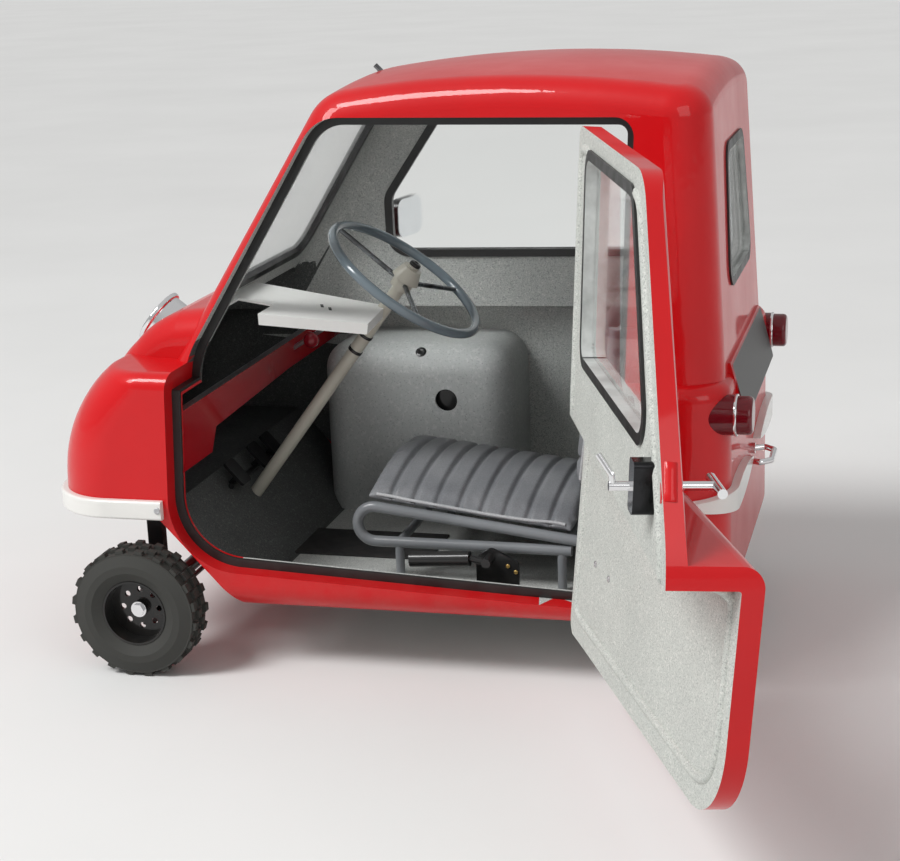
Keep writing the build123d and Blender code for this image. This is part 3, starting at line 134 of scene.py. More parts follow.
class Effects:
    """Shader groups that several finishes share, each built once."""

    def __init__(self) -> None:
        """Starts with no group built."""
        self._built: dict[str, bpy.types.NodeTree] = {}

    def _group(
        self, name: str, ins: dict[str, object], outs: dict[str, str]
    ) -> tuple[Graph, bpy.types.bpy_prop_collection, bpy.types.bpy_prop_collection]:
        """Makes an empty group with its sockets.

        Args:
            name: The group's name.
            ins: Name and default of each input, a number or a colour.
            outs: Name and kind of each output.

        Returns:
            The graph of the new group, its given values and its results.
        """
        tree = bpy.data.node_groups.new(name, "ShaderNodeTree")
        for label, default in ins.items():
            kind = "Color" if isinstance(default, tuple) else "Float"
            socket = tree.interface.new_socket(name=label, in_out="INPUT", socket_type=f"NodeSocket{kind}")
            socket.default_value = (*default, 1.0) if kind == "Color" else default
        for label, kind in outs.items():
            tree.interface.new_socket(name=label, in_out="OUTPUT", socket_type=f"NodeSocket{kind}")
        self._built[name] = tree
        return Graph(tree), tree.nodes.new("NodeGroupInput").outputs, tree.nodes.new("NodeGroupOutput").inputs

    def use(self, graph: Graph, name: str, values: dict) -> bpy.types.Node:
        """Places a group in a material.

        Args:
            graph: The material's graph.
            name: The effect's name.
            values: Input name to value or socket.

        Returns:
            The group node.
        """
        if name not in self._built:
            getattr(self, f"_build_{name}")()
        return graph.add("ShaderNodeGroup", values, node_tree=self._built[name])

    def _build_grain(self) -> None:
        """Fine even grain with a slow drift, for bump and gloss."""
        ins, outs = {"Scale": 200.0, "Drift": 6.0}, {"Height": "Float", "Slow": "Float"}
        graph, given, result = self._group("grain", ins, outs)
        place = graph.place()
        graph.feed(result["Height"], graph.noise(place, given["Scale"], 2.0))
        graph.feed(result["Slow"], graph.noise(place, given["Drift"], 4.0))

    def _build_fleck(self) -> None:
        """Spatter of dark and pale flecks over a base colour."""
        colors = {"Base": (0.6, 0.6, 0.6), "Dark": (0.2, 0.2, 0.2), "Pale": (0.8, 0.8, 0.8)}
        ins = {**colors, "Scale": 420.0, "Cover": 0.4}
        graph, given, result = self._group("fleck", ins, {"Color": "Color", "Height": "Float"})
        place = graph.place()
        fine = graph.noise(place, given["Scale"], 3.0, 0.7)
        coarse = graph.noise(place, graph.math("MULTIPLY", given["Scale"], 0.43), 3.0, 0.65)
        cover = graph.math("SUBTRACT", 0.86, given["Cover"])
        dark = graph.span(fine, cover, graph.math("ADD", cover, 0.07))
        slow = graph.span(graph.noise(place, 5.0, 4.0), 0.3, 0.75, 0.0, 0.22)
        color = graph.mix(graph.span(coarse, 0.54, 0.64), given["Base"], given["Pale"])
        color = graph.mix(graph.math("MULTIPLY", dark, 0.8), color, given["Dark"])
        graph.feed(result["Color"], graph.mix(slow, color, given["Dark"]))
        graph.feed(result["Height"], graph.math("ADD", fine, coarse))

    def _build_dust(self) -> None:
        """Mask of dust that settles in patches low down."""
        ins = {"Low": -0.13, "High": 0.1, "Amount": 0.5}
        graph, given, result = self._group("dust", ins, {"Mask": "Float"})
        place = graph.place()
        height = graph.add("ShaderNodeSeparateXYZ", {0: place}).outputs[2]
        fall = graph.span(height, given["Low"], given["High"], 1.0, 0.0)
        patches = graph.span(graph.noise(place, 24.0, 5.0, 0.65), 0.35, 0.7)
        mask = graph.math("MULTIPLY", graph.math("MULTIPLY", fall, patches), given["Amount"], clamp=True)
        graph.feed(result["Mask"], mask)


EFFECTS = Effects()


# Finishes
@dataclass(frozen=True)
class Wear:
    """A finish's fine grain, and the slow drift that shifts its tone and gloss."""

    scale: float
    drift: float
    gloss: tuple[float, float] = (0.3, 0.75)
    tone: tuple[float, float] = (0.35, 0.7)
    strength: float = 0.35


class Finish:
    """A material with a name, built on first use."""

    name: str
    wear: Wear

    def material(self) -> bpy.types.Material:
        """Returns the material, which is built once."""
        found = bpy.data.materials.get(self.name)
        if found:
            return found
        made = bpy.data.materials.new(self.name)
        made.use_nodes = True
        shader = made.node_tree.nodes["Principled BSDF"]
        self.wire(Graph(made.node_tree), shader)
        made.diffuse_color = (*shader.inputs["Base Color"].default_value[:3], 1.0)
        return made

    def wire(self, graph: Graph, shader: bpy.types.Node) -> None:
        """Fills the material's graph."""
        raise NotImplementedError

    def grain(self, graph: Graph) -> tuple[Socket, Socket]:
        """Places the finish's noise and returns its fine height and its slow drift."""
        node = EFFECTS.use(graph, "grain", {"Scale": self.wear.scale, "Drift": self.wear.drift})
        return node.outputs["Height"], node.outputs["Slow"]

    def tint(self, graph: Graph, slow: Socket, first: Color, second: Color) -> Socket:
        """Returns a colour that drifts between two tones."""
        return graph.mix(graph.span(slow, *self.wear.tone), first, second)

    def roughen(self, graph: Graph, shader: bpy.types.Node, slow: Socket, least: float, most: float) -> None:
        """Lets the roughness follow the slow drift."""
        graph.feed(shader.inputs["Roughness"], graph.span(slow, *self.wear.gloss, least, most))

    def bump(self, graph: Graph, shader: bpy.types.Node, height: Socket, depth: float) -> None:
        """Feeds a height, whose depth is in metres, to the shader's normal."""
        inputs = {"Strength": self.wear.strength, "Distance": depth, "Height": height}
        graph.feed(shader.inputs["Normal"], graph.add("ShaderNodeBump", inputs).outputs["Normal"])

    @staticmethod
    def fix(shader: bpy.types.Node, values: dict[str, float]) -> None:
        """Sets what is the same all over the surface on the shader's own sockets."""
        for name, value in values.items():
            shader.inputs[name].default_value = value


@dataclass(frozen=True)
class GlossPaint(Finish):
    """Sprayed or moulded colour under a clear gloss."""

    name: str
    color: Color
    shade: Color
    roughness: float = 0.25
    coat: float = 1.0
    coat_roughness: float = 0.04
    dust: float = 0.12
    dust_color: Color = (0.35, 0.3, 0.24)
    dust_low: float = -0.1
    dust_high: float = 0.16
    glossier: float = 0.8
    duller: float = 1.5
    specular: float = 0.15
    ripple: float = 0.00025
    wear: Wear = Wear(46.0, 3.5, (0.3, 0.8), (0.35, 0.65), 0.25)

    def wire(self, graph: Graph, shader: bpy.types.Node) -> None:
        """Slow change of tone, faint ripple and some road dust low down."""
        height, slow = self.grain(graph)
        color = self.tint(graph, slow, self.color, self.shade)
        range_of = {"Low": self.dust_low, "High": self.dust_high, "Amount": self.dust}
        dust = EFFECTS.use(graph, "dust", range_of)
        graph.feed(shader.inputs["Base Color"], graph.mix(dust.outputs[0], color, self.dust_color))
        self.roughen(graph, shader, slow, self.roughness * self.glossier, self.roughness * self.duller)
        coat = {"Coat Weight": self.coat, "Coat Roughness": self.coat_roughness}
        self.fix(shader, {"Specular IOR Level": self.specular, **coat})
        self.bump(graph, shader, height, self.ripple)


@dataclass(frozen=True)
class FleckCoat(Finish):
    """Matt coat with a spatter of flecks, as on the cab's inside."""

    name: str
    base: Color
    dark: Color
    pale: Color
    scale: float = 430.0
    cover: float = 0.36
    roughness: float = 0.62
    glossier: float = 0.1
    duller: float = 0.12
    relief: float = 0.0006
    wear: Wear = Wear(150.0, 7.0, (0.3, 0.7), strength=0.5)

    def wire(self, graph: Graph, shader: bpy.types.Node) -> None:
        """Flecked colour with a pebbly relief."""
        colors = {"Base": self.base, "Dark": self.dark, "Pale": self.pale}
        fleck = EFFECTS.use(graph, "fleck", {**colors, "Scale": self.scale, "Cover": self.cover})
        graph.feed(shader.inputs["Base Color"], fleck.outputs["Color"])
        _, slow = self.grain(graph)
        self.roughen(graph, shader, slow, self.roughness - self.glossier, self.roughness + self.duller)
        self.bump(graph, shader, fleck.outputs["Height"], self.relief)


@dataclass(frozen=True)
class Rubber(Finish):
    """Dark or pale rubber, dusty where it meets the ground."""

    name: str
    color: Color
    dust: float = 0.35
    dust_color: Color = (0.16, 0.145, 0.12)
    roughness: float = 0.62
    dust_low: float = -0.13
    dust_high: float = 0.16
    paler: float = 1.7
    glossier: float = 0.14
    duller: float = 0.12
    relief: float = 0.0004
    wear: Wear = Wear(380.0, 20.0)

    def wire(self, graph: Graph, shader: bpy.types.Node) -> None:
        """Dull colour with fine grain and dust."""
        height, slow = self.grain(graph)
        color = self.tint(graph, slow, self.color, tuple(self.paler * part for part in self.color))
        range_of = {"Low": self.dust_low, "High": self.dust_high, "Amount": self.dust}
        dust = EFFECTS.use(graph, "dust", range_of)
        graph.feed(shader.inputs["Base Color"], graph.mix(dust.outputs[0], color, self.dust_color))
        self.roughen(graph, shader, slow, self.roughness - self.glossier, self.roughness + self.duller)
        self.bump(graph, shader, height, self.relief)


@dataclass(frozen=True)
class Metal(Finish):
    """Plated, polished or plain metal with faint tarnish."""

    name: str
    color: Color
    tarnish: Color
    roughness: float = 0.12
    spread: float = 0.12
    relief: float = 0.0001
    wear: Wear = Wear(160.0, 28.0, (0.35, 0.75), (0.45, 0.72), 0.3)

    def wire(self, graph: Graph, shader: bpy.types.Node) -> None:
        """Bright metal with dull patches."""
        height, slow = self.grain(graph)
        graph.feed(shader.inputs["Base Color"], self.tint(graph, slow, self.color, self.tarnish))
        self.fix(shader, {"Metallic": 1.0})
        self.roughen(graph, shader, slow, self.roughness, self.roughness + self.spread)
        self.bump(graph, shader, height, self.relief)


@dataclass(frozen=True)
class Vinyl(Finish):
    """Soft grey vinyl with a leather grain and a dull sheen."""

    name: str
    color: Color
    worn: Color
    roughness: float = 0.42
    cell_scale: float = 520.0
    glossier: float = 0.08
    duller: float = 0.14
    relief: float = 0.0004
    wear: Wear = Wear(900.0, 9.0, (0.3, 0.75), (0.4, 0.72))

    def wire(self, graph: Graph, shader: bpy.types.Node) -> None:
        """Pebbled grain, paler where it is rubbed."""
        inputs = {"Vector": graph.place(), "Scale": self.cell_scale}
        cells = graph.add("ShaderNodeTexVoronoi", inputs, feature="SMOOTH_F1").outputs[0]
        height, slow = self.grain(graph)
        color = self.tint(graph, slow, self.color, self.worn)
        shade = graph.span(cells, 0.0, 0.6, 0.75, 1.1)
        scaled = graph.add("ShaderNodeVectorMath", {0: color, "Scale": shade}, operation="SCALE").outputs[0]
        graph.feed(shader.inputs["Base Color"], scaled)
        self.roughen(graph, shader, slow, self.roughness - self.glossier, self.roughness + self.duller)
        self.bump(graph, shader, graph.math("ADD", cells, graph.math("MULTIPLY", height, 0.3)), self.relief)


@dataclass(frozen=True)
class Glass(Finish):
    """Clear or coloured glass or lens with faint smears."""

    name: str
    color: Color
    roughness: float = 0.02
    ior: float = 1.45
    transmission: float = 1.0
    smear: float = 0.06
    deeper: float = 0.96
    wear: Wear = Wear(60.0, 4.0, (0.45, 0.8), (0.4, 0.7))

    def wire(self, graph: Graph, shader: bpy.types.Node) -> None:
        """Glass whose gloss is dulled here and there."""
        _, slow = self.grain(graph)
        color = self.tint(graph, slow, self.color, tuple(self.deeper * part for part in self.color))
        graph.feed(shader.inputs["Base Color"], color)
        self.roughen(graph, shader, slow, self.roughness, self.roughness + self.smear)
        self.fix(shader, {"Transmission Weight": self.transmission, "IOR": self.ior})


@dataclass(frozen=True)
class ThinPane(Finish):
    """Thin window pane: clear, with its surface reflection."""

    name: str
    color: Color = (0.93, 0.97, 0.95)
    alpha: float = 0.37
    roughness: float = 0.01
    smear: float = 0.04
    ior: float = 1.12
    wear: Wear = Wear(40.0, 3.0, (0.45, 0.8))

    def wire(self, graph: Graph, shader: bpy.types.Node) -> None:
        """A see-through pane with a gloss that is dulled here and there."""
        _, slow = self.grain(graph)
        shader.inputs["Base Color"].default_value = (*self.color, 1.0)
        self.roughen(graph, shader, slow, self.roughness, self.roughness + self.smear)
        self.fix(shader, {"Transmission Weight": 1.0, "IOR": self.ior, "Alpha": self.alpha})


@dataclass(frozen=True)
class MattFloor(Finish):
    """Plain pale floor, even but for a faint drift of tone."""

    name: str
    color: Color
    paler: Color
    roughness: float = 0.8
    wear: Wear = Wear(30.0, 0.8, tone=(0.3, 0.7))

    def wire(self, graph: Graph, shader: bpy.types.Node) -> None:
        """Two pale tones over one roughness."""
        _, slow = self.grain(graph)
        graph.feed(shader.inputs["Base Color"], self.tint(graph, slow, self.color, self.paler))
        self.fix(shader, {"Roughness": self.roughness})


class Shade(Enum):
    """Finishes of the car and of its floor, by their use."""

    BODY_RED = GlossPaint("body_red", (0.60, 0.002, 0.005), (0.54, 0.0015, 0.004), 0.4, 0.55)
    FRAME_RED = GlossPaint("frame_red", (0.36, 0.004, 0.009), (0.28, 0.003, 0.007), coat=0.7, dust=0.25)
    KNOB_RED = GlossPaint("knob_red", (0.30, 0.006, 0.016), (0.24, 0.004, 0.012), dust=0.0)
    LINING = FleckCoat("lining_fleck", (0.53, 0.55, 0.525), (0.22, 0.23, 0.23), (0.68, 0.68, 0.65), cover=0.34)
    DOOR_LINING = FleckCoat(
        "door_fleck", (0.57, 0.59, 0.55), (0.26, 0.27, 0.26), (0.72, 0.72, 0.68), cover=0.33
    )
    # Painted shade: a near-black fleck that stands for the shade inside the nose.
    NOSE_INSIDE = FleckCoat("nose_painted_shade", (0.085, 0.09, 0.088), (0.03, 0.032, 0.032), (0.16, 0.165, 0.16))
    COVER = FleckCoat("cover_fleck", (0.47, 0.49, 0.48), (0.27, 0.28, 0.28), (0.56, 0.57, 0.56), 260.0, 0.28)
    SHELF = GlossPaint("shelf_white", (0.80, 0.80, 0.78), (0.74, 0.74, 0.72), 0.4, 0.2, 0.2, 0.0)
    CREAM = GlossPaint("column_cream", (0.52, 0.50, 0.43), (0.44, 0.42, 0.36), 0.35, 0.4, 0.15, 0.0)
    BUMPER = GlossPaint("bumper_white", (0.80, 0.79, 0.76), (0.72, 0.71, 0.68), 0.3, 0.7, 0.08, 0.1)
    SEAL = Rubber("seal_rubber", (0.012, 0.012, 0.012), 0.1, roughness=0.42)
    # Painted highlight: pale grey on the seals' inner lip, for the bright chrome-like line that it catches.
    SEAL_LIP = Rubber("seal_lip_highlight", (0.36, 0.37, 0.36), 0.0, roughness=0.4)
    LATCH = Metal("latch_black", (0.035, 0.035, 0.037), (0.015, 0.015, 0.015), 0.16, 0.15)
    TYRE = Rubber("tyre_rubber", (0.0075, 0.0073, 0.007), 0.2, roughness=0.6)
    RIM = GlossPaint("rim_black", (0.004, 0.004, 0.0045), (0.006, 0.006, 0.006), 0.25, 0.7, 0.06, 0.05)
    BLACK = GlossPaint("black_enamel", (0.010, 0.010, 0.011), (0.016, 0.016, 0.016), 0.35, 0.6, 0.12, 0.05)
    TUBE = GlossPaint("seat_tube_grey", (0.23, 0.245, 0.26), (0.17, 0.18, 0.19), 0.3, 0.6, 0.1, 0.08)
    WHEEL_RIM = GlossPaint("wheel_rim_grey", (0.15, 0.19, 0.215), (0.12, 0.15, 0.17), 0.22, 1.0, 0.05, 0.0)
    SPOKE = Metal("spoke_steel", (0.20, 0.21, 0.22), (0.06, 0.06, 0.06), 0.25)
    CHROME = Metal("chrome", (0.78, 0.78, 0.79), (0.55, 0.54, 0.52), 0.05, 0.08)
    SMOKED = Metal("smoked_chrome", (0.22, 0.22, 0.23), (0.05, 0.05, 0.05), 0.12, 0.15)
    STEEL = Metal("bare_steel", (0.50, 0.50, 0.49), (0.30, 0.27, 0.23), 0.28, 0.2)
    BRASS = Metal("bolt_brass", (0.62, 0.42, 0.14), (0.3, 0.18, 0.07), 0.3)
    VINYL = Vinyl("seat_vinyl", (0.165, 0.172, 0.184), (0.215, 0.222, 0.232))
    PIPING = Vinyl("seat_piping", (0.38, 0.39, 0.40), (0.46, 0.47, 0.48), 0.36)
    PANE = ThinPane("window_pane")
    LAMP = Glass("lamp_glass", (0.90, 0.92, 0.94))
    TAIL = Glass("tail_red", (0.17, 0.003, 0.010), 0.06, 1.49, 0.2)
    MIRROR = Metal("mirror_silver", (0.86, 0.88, 0.9), (0.82, 0.84, 0.86), 0.01, 0.02)
    PLATE = GlossPaint("plate_black", (0.012, 0.012, 0.012), (0.018, 0.018, 0.018), 0.4, 0.3, 0.2, 0.05)
    # Black rubber mat that also stands for the shade on the footwell floor: partly painted shade.
    FLOOR_MAT = Rubber("floor_mat_and_shade", (0.011, 0.011, 0.012), 0.2, roughness=0.7, dust_high=0.3)
    STUDIO_FLOOR = MattFloor("studio_floor", (0.74, 0.74, 0.73), (0.78, 0.78, 0.77))


Rule = Callable[[Vector, Vector], int]


def dress(node: str, *shades: Shade, rule: Rule | None = None) -> None:
    """Gives a CAD node its finish, or one finish for each part of it.

    Args:
        node: The node's name.
        *shades: The finishes, in slot order.
        rule: Says which slot a face takes, from its centre and normal.
    """
    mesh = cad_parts[node].data
    mesh.materials.clear()
    for shade in shades:
        mesh.materials.append(shade.value.material())
    slots = [rule(face.center, face.normal) if rule else 0 for face in mesh.polygons]
    mesh.polygons.foreach_set("material_index", slots)
    LOG.info("dressed %s in %s", node, ", ".join(shade.value.name for shade in shades))


def dress_each(shade: Shade, *nodes: str) -> None:
    """Gives several CAD nodes the same finish."""
    for node in nodes:
        dress(node, shade)


def dress_seal(node: str, turn: float = 0.72) -> None:
    """Gives a window rubber a painted highlight along its inner lip.

    Args:
        node: The rubber's name.
        turn: How squarely a face of the lip looks at the window's middle, as a cosine.
    """
    low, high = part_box(node)
    middle = (low + high) / 2

    def lip(center: Vector, normal: Vector) -> int:
        """Says whether a face is black rubber (0) or inner lip under a painted highlight (1)."""
        return int(normal.dot((middle - center).normalized()) > turn)

    dress(node, Shade.SEAL, Shade.SEAL_LIP, rule=lip)


# Modelling calls
def choose(*pieces: bpy.types.Object) -> None:
    """Leaves object mode with only these pieces selected, and the first one active."""
    if bpy.context.mode != "OBJECT":
        bpy.ops.object.mode_set(mode="OBJECT")
    bpy.ops.object.select_all(action="DESELECT")
    for piece in pieces:
        piece.select_set(True)
    if pieces:
        bpy.context.view_layer.objects.active = pieces[0]


def pick(piece: bpy.types.Object, kind: str, test: Callable[[object], bool]) -> None:
    """Goes into edit mode with only some faces or edges selected.

    Args:
        piece: The active mesh object.
        kind: Either faces or edges.
        test: Says whether a face or an edge is taken.
    """
    bpy.ops.object.mode_set(mode="EDIT")
    bpy.ops.mesh.select_all(action="DESELECT")
    mesh = bmesh.from_edit_mesh(piece.data)
    for element in getattr(mesh, kind):
        element.select_set(test(element))
    bmesh.update_edit_mesh(piece.data)


def finish_piece(obj: bpy.types.Object, name: str, shade: Shade, body: str) -> None:
    """Applies a piece's place, names it, and gives it a finish and a body.

    Args:
        obj: The finished mesh object.
        name: Its name.
        shade: Its finish.
        body: The CAD body that it moves with.
    """
    choose(obj)
    bpy.ops.object.transform_apply(location=True, rotation=True, scale=True)
    obj.name = obj.data.name = name
    obj.data.materials.clear()
    obj.data.materials.append(shade.value.material())
    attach(obj, body)
    LOG.info("built %s: %d faces on %s", name, len(obj.data.polygons), body)


def stood(point: Vector, axis: Vector) -> Matrix:
    """Returns the matrix that lays local z along an axis at a point."""
    return Matrix.Translation(point) @ axis.to_track_quat("Z", "Y").to_matrix().to_4x4()


def bevelled(obj: bpy.types.Object, width: float, segments: int = 2, angle: float = 0.6) -> bpy.types.Object:
    """Rounds a piece's sharp edges with an applied bevel.

    Args:
        obj: The piece.
        width: The bevel's width.
        segments: Its rows of faces.
        angle: The least angle of an edge that it rounds, in radians.

    Returns:
        The same piece.
    """
    choose(obj)
    change = obj.modifiers.new("bevel", "BEVEL")
    change.width, change.segments, change.angle_limit = width, segments, angle
    bpy.ops.object.modifier_apply(modifier=change.name)
    bpy.ops.object.shade_smooth_by_angle(angle=0.7)
    return obj


@dataclass
class Screw:
    """Domed or hexagonal fastener head with a well, its shares taken from radius and height."""

    radius: float = 0.006
    height: float = 0.003
    sides: int = 24
    rim: float = 0.35
    rise: float = 0.35
    well_rim: float = 0.25
    well: float = 0.4
    soft: float = 0.18

    def build(self, point: Vector, axis: Vector) -> bpy.types.Object:
        """Makes the head on a surface.

        Args:
            point: The surface point.
            axis: The surface's outward direction.

        Returns:
            The mesh object, in place.
        """
        choose()
        bpy.ops.mesh.primitive_cylinder_add(vertices=self.sides, radius=self.radius, depth=self.height * 2)
        head = bpy.context.object
        pick(head, "faces", lambda face: face.normal.z > 0.9)
        bpy.ops.mesh.inset(thickness=self.radius * self.rim)
        bpy.ops.transform.translate(value=(0, 0, self.height * self.rise))
        bpy.ops.mesh.inset(thickness=self.radius * self.well_rim)
        sink = {"value": (0, 0, -self.height * self.well)}
        bpy.ops.mesh.extrude_region_move(TRANSFORM_OT_translate=sink)
        bpy.ops.object.mode_set(mode="OBJECT")
        head.matrix_world = stood(point, axis)
        return bevelled(head, self.height * self.soft)


@dataclass
class Ring:
    """Plain collar with a rounded edge."""

    outer: float
    inner: float
    height: float
    sides: int = 64
    soft: float = 0.25

    def build(self, point: Vector, axis: Vector) -> bpy.types.Object:
        """Makes the collar standing on a point.

        Args:
            point: Middle of the collar's foot.
            axis: Direction that it stands in.

        Returns:
            The mesh object, in place.
        """
        choose()
        bpy.ops.mesh.primitive_cylinder_add(vertices=self.sides, radius=self.outer, depth=self.height)
        ring = bpy.context.object
        pick(ring, "faces", lambda face: abs(face.normal.z) > 0.9)
        bpy.ops.mesh.inset(thickness=self.outer - self.inner)
        bpy.ops.mesh.bridge_edge_loops()
        bpy.ops.mesh.select_all(action="SELECT")
        bpy.ops.mesh.normals_make_consistent(inside=False)
        bpy.ops.object.mode_set(mode="OBJECT")
        ring.matrix_world = stood(point + axis * self.height / 2, axis)
        return bevelled(ring, min(self.height, self.outer - self.inner) * self.soft)


@dataclass
class Slab:
    """Thin plate with rounded corners, lying across an axis and turned about it."""

    length: float
    width: float
    height: float
    corner: float = 0.012
    turn: float = 0.0
    soft: float = 0.3

    def build(self, point: Vector, axis: Vector) -> bpy.types.Object:
        """Makes the plate.

        Args:
            point: Middle of its foot.
            axis: Direction of its thickness.

        Returns:
            The mesh object, in place.
        """

        def upright(edge: bmesh.types.BMEdge) -> bool:
            """Says whether an edge runs through the thickness."""
            run = edge.verts[1].co - edge.verts[0].co
            return abs(run.z) > abs(run.x) + abs(run.y)

        choose()
        bpy.ops.mesh.primitive_cube_add(size=1.0)
        slab = bpy.context.object
        slab.scale = (self.length, self.width, self.height)
        bpy.ops.object.transform_apply(scale=True)
        pick(slab, "edges", upright)
        bpy.ops.mesh.bevel(offset=self.corner, segments=6, affect="EDGES")
        bpy.ops.object.mode_set(mode="OBJECT")
        slab.matrix_world = stood(point + axis * self.height / 2, axis) @ Matrix.Rotation(self.turn, 4, "Z")
        return bevelled(slab, self.height * self.soft)


def tube(name: str, points: Sequence[Vector], radius: float, closed: bool = False) -> bpy.types.Object:
    """Makes a smooth round roll along points.

    Args:
        name: The object's name.
        points: Where its middle line goes.
        radius: Its radius.
        closed: Whether it joins up.

    Returns:
        The mesh object.
    """
    curve = bpy.data.curves.new(name, "CURVE")
    curve.dimensions, curve.bevel_depth, curve.bevel_resolution = "3D", radius, 4
    curve.resolution_u, curve.use_fill_caps = 3, True
    spline = curve.splines.new("NURBS")
    spline.points.add(len(points) - 1)
    for slot, point in zip(spline.points, points):
        slot.co = (*point, 1.0)
    spline.order_u, spline.use_endpoint_u, spline.use_cyclic_u = 3, not closed, closed
    roll = bpy.data.objects.new(name, curve)
    bpy.context.scene.collection.objects.link(roll)
    choose(roll)
    bpy.ops.object.convert(target="MESH")
    bpy.ops.object.shade_smooth()
    return bpy.context.object


@dataclass(frozen=True)
class PhotoCamera:
    """Camera of the photograph, in metres in the part's frame; the lens is in millimetres."""

    at: Point = (-1.0263, 3.5622, 1.2904)
    right: Point = (-0.9663, -0.2546, -0.0375)
    up: Point = (0.0335, -0.2687, 0.9627)
    forward: Point = (0.2552, -0.9290, -0.2682)
    lens: float = 73.56
    sensor: float = 36.0
    picture: Pixel = (900.0, 861.0)

    def ray(self, across: float, down: float) -> Vector:
        """Returns the direction that shows at a place of the picture, in pixels from its top left."""
        unit = self.sensor / self.picture[0] / self.lens
        sideways = Vector(self.right) * (across - self.picture[0] / 2) * unit
        downwards = Vector(self.up) * (down - self.picture[1] / 2) * unit
        return (Vector(self.forward) + sideways - downwards).normalized()

    def place(self) -> None:
        """Adds the camera to the scene and looks through it."""
        lens = bpy.data.cameras.new("camera")
        lens.lens, lens.sensor_width, lens.sensor_fit = self.lens, self.sensor, "HORIZONTAL"
        camera = bpy.data.objects.new("camera", lens)
        bpy.context.scene.collection.objects.link(camera)
        axes = (self.right, self.up, tuple(-part for part in self.forward))
        camera.matrix_world = Matrix.Translation(self.at) @ Matrix(axes).transposed().to_4x4()
        bpy.context.scene.camera = camera


CAMERA = PhotoCamera()


class Surface:
    """Finds points on a CAD node's faces."""

    def __init__(self, node: str) -> None:
        """Builds the search tree from the node's mesh."""
        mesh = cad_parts[node].data
        self.node = node
        self.tree = BVHTree.FromPolygons([v.co for v in mesh.vertices], [p.vertices for p in mesh.polygons])

    def hit(self, start: Vector, way: Vector) -> tuple[Vector, Vector] | None:
        """Finds the first face on a line.

        Args:
            start: Where the line starts.
            way: The direction that it goes in.

        Returns:
            The point and the normal that looks back, or None.
        """
        point, normal, _, _ = self.tree.ray_cast(start, way)
        if point is None:
            return None
        return point, (normal if normal.dot(way) < 0 else -normal)

    def seen(self, across: float, down: float) -> tuple[Vector, Vector]:
        """Finds what shows of the node at a place of the picture.

        Args:
            across: Pixels from the picture's left.
            down: Pixels from its top.

        Returns:
            The nearest point on the node, and its normal.
        """
        found = self.hit(Vector(CAMERA.at), CAMERA.ray(across, down))
        if found is None:
            raise ValueError(f"nothing of {self.node} shows at {across}, {down}")
        return found


def join(pieces: Sequence[bpy.types.Object]) -> bpy.types.Object:
    """Joins pieces into the first one and returns it."""
    choose(*pieces)
    if len(pieces) > 1:
        bpy.ops.object.join()
    return pieces[0]


def seated(head: Screw | Slab, node: str, *places: Pixel) -> bpy.types.Object:
    """Sets copies of a head on a CAD node where the photograph shows them.

    Args:
        head: The head.
        node: The CAD node that carries it.
        *places: Where each one shows, in pixels of the photograph.

    Returns:
        The heads, joined into one object.
    """
    surface = Surface(node)
    return join([head.build(*surface.seen(*place)) for place in places])


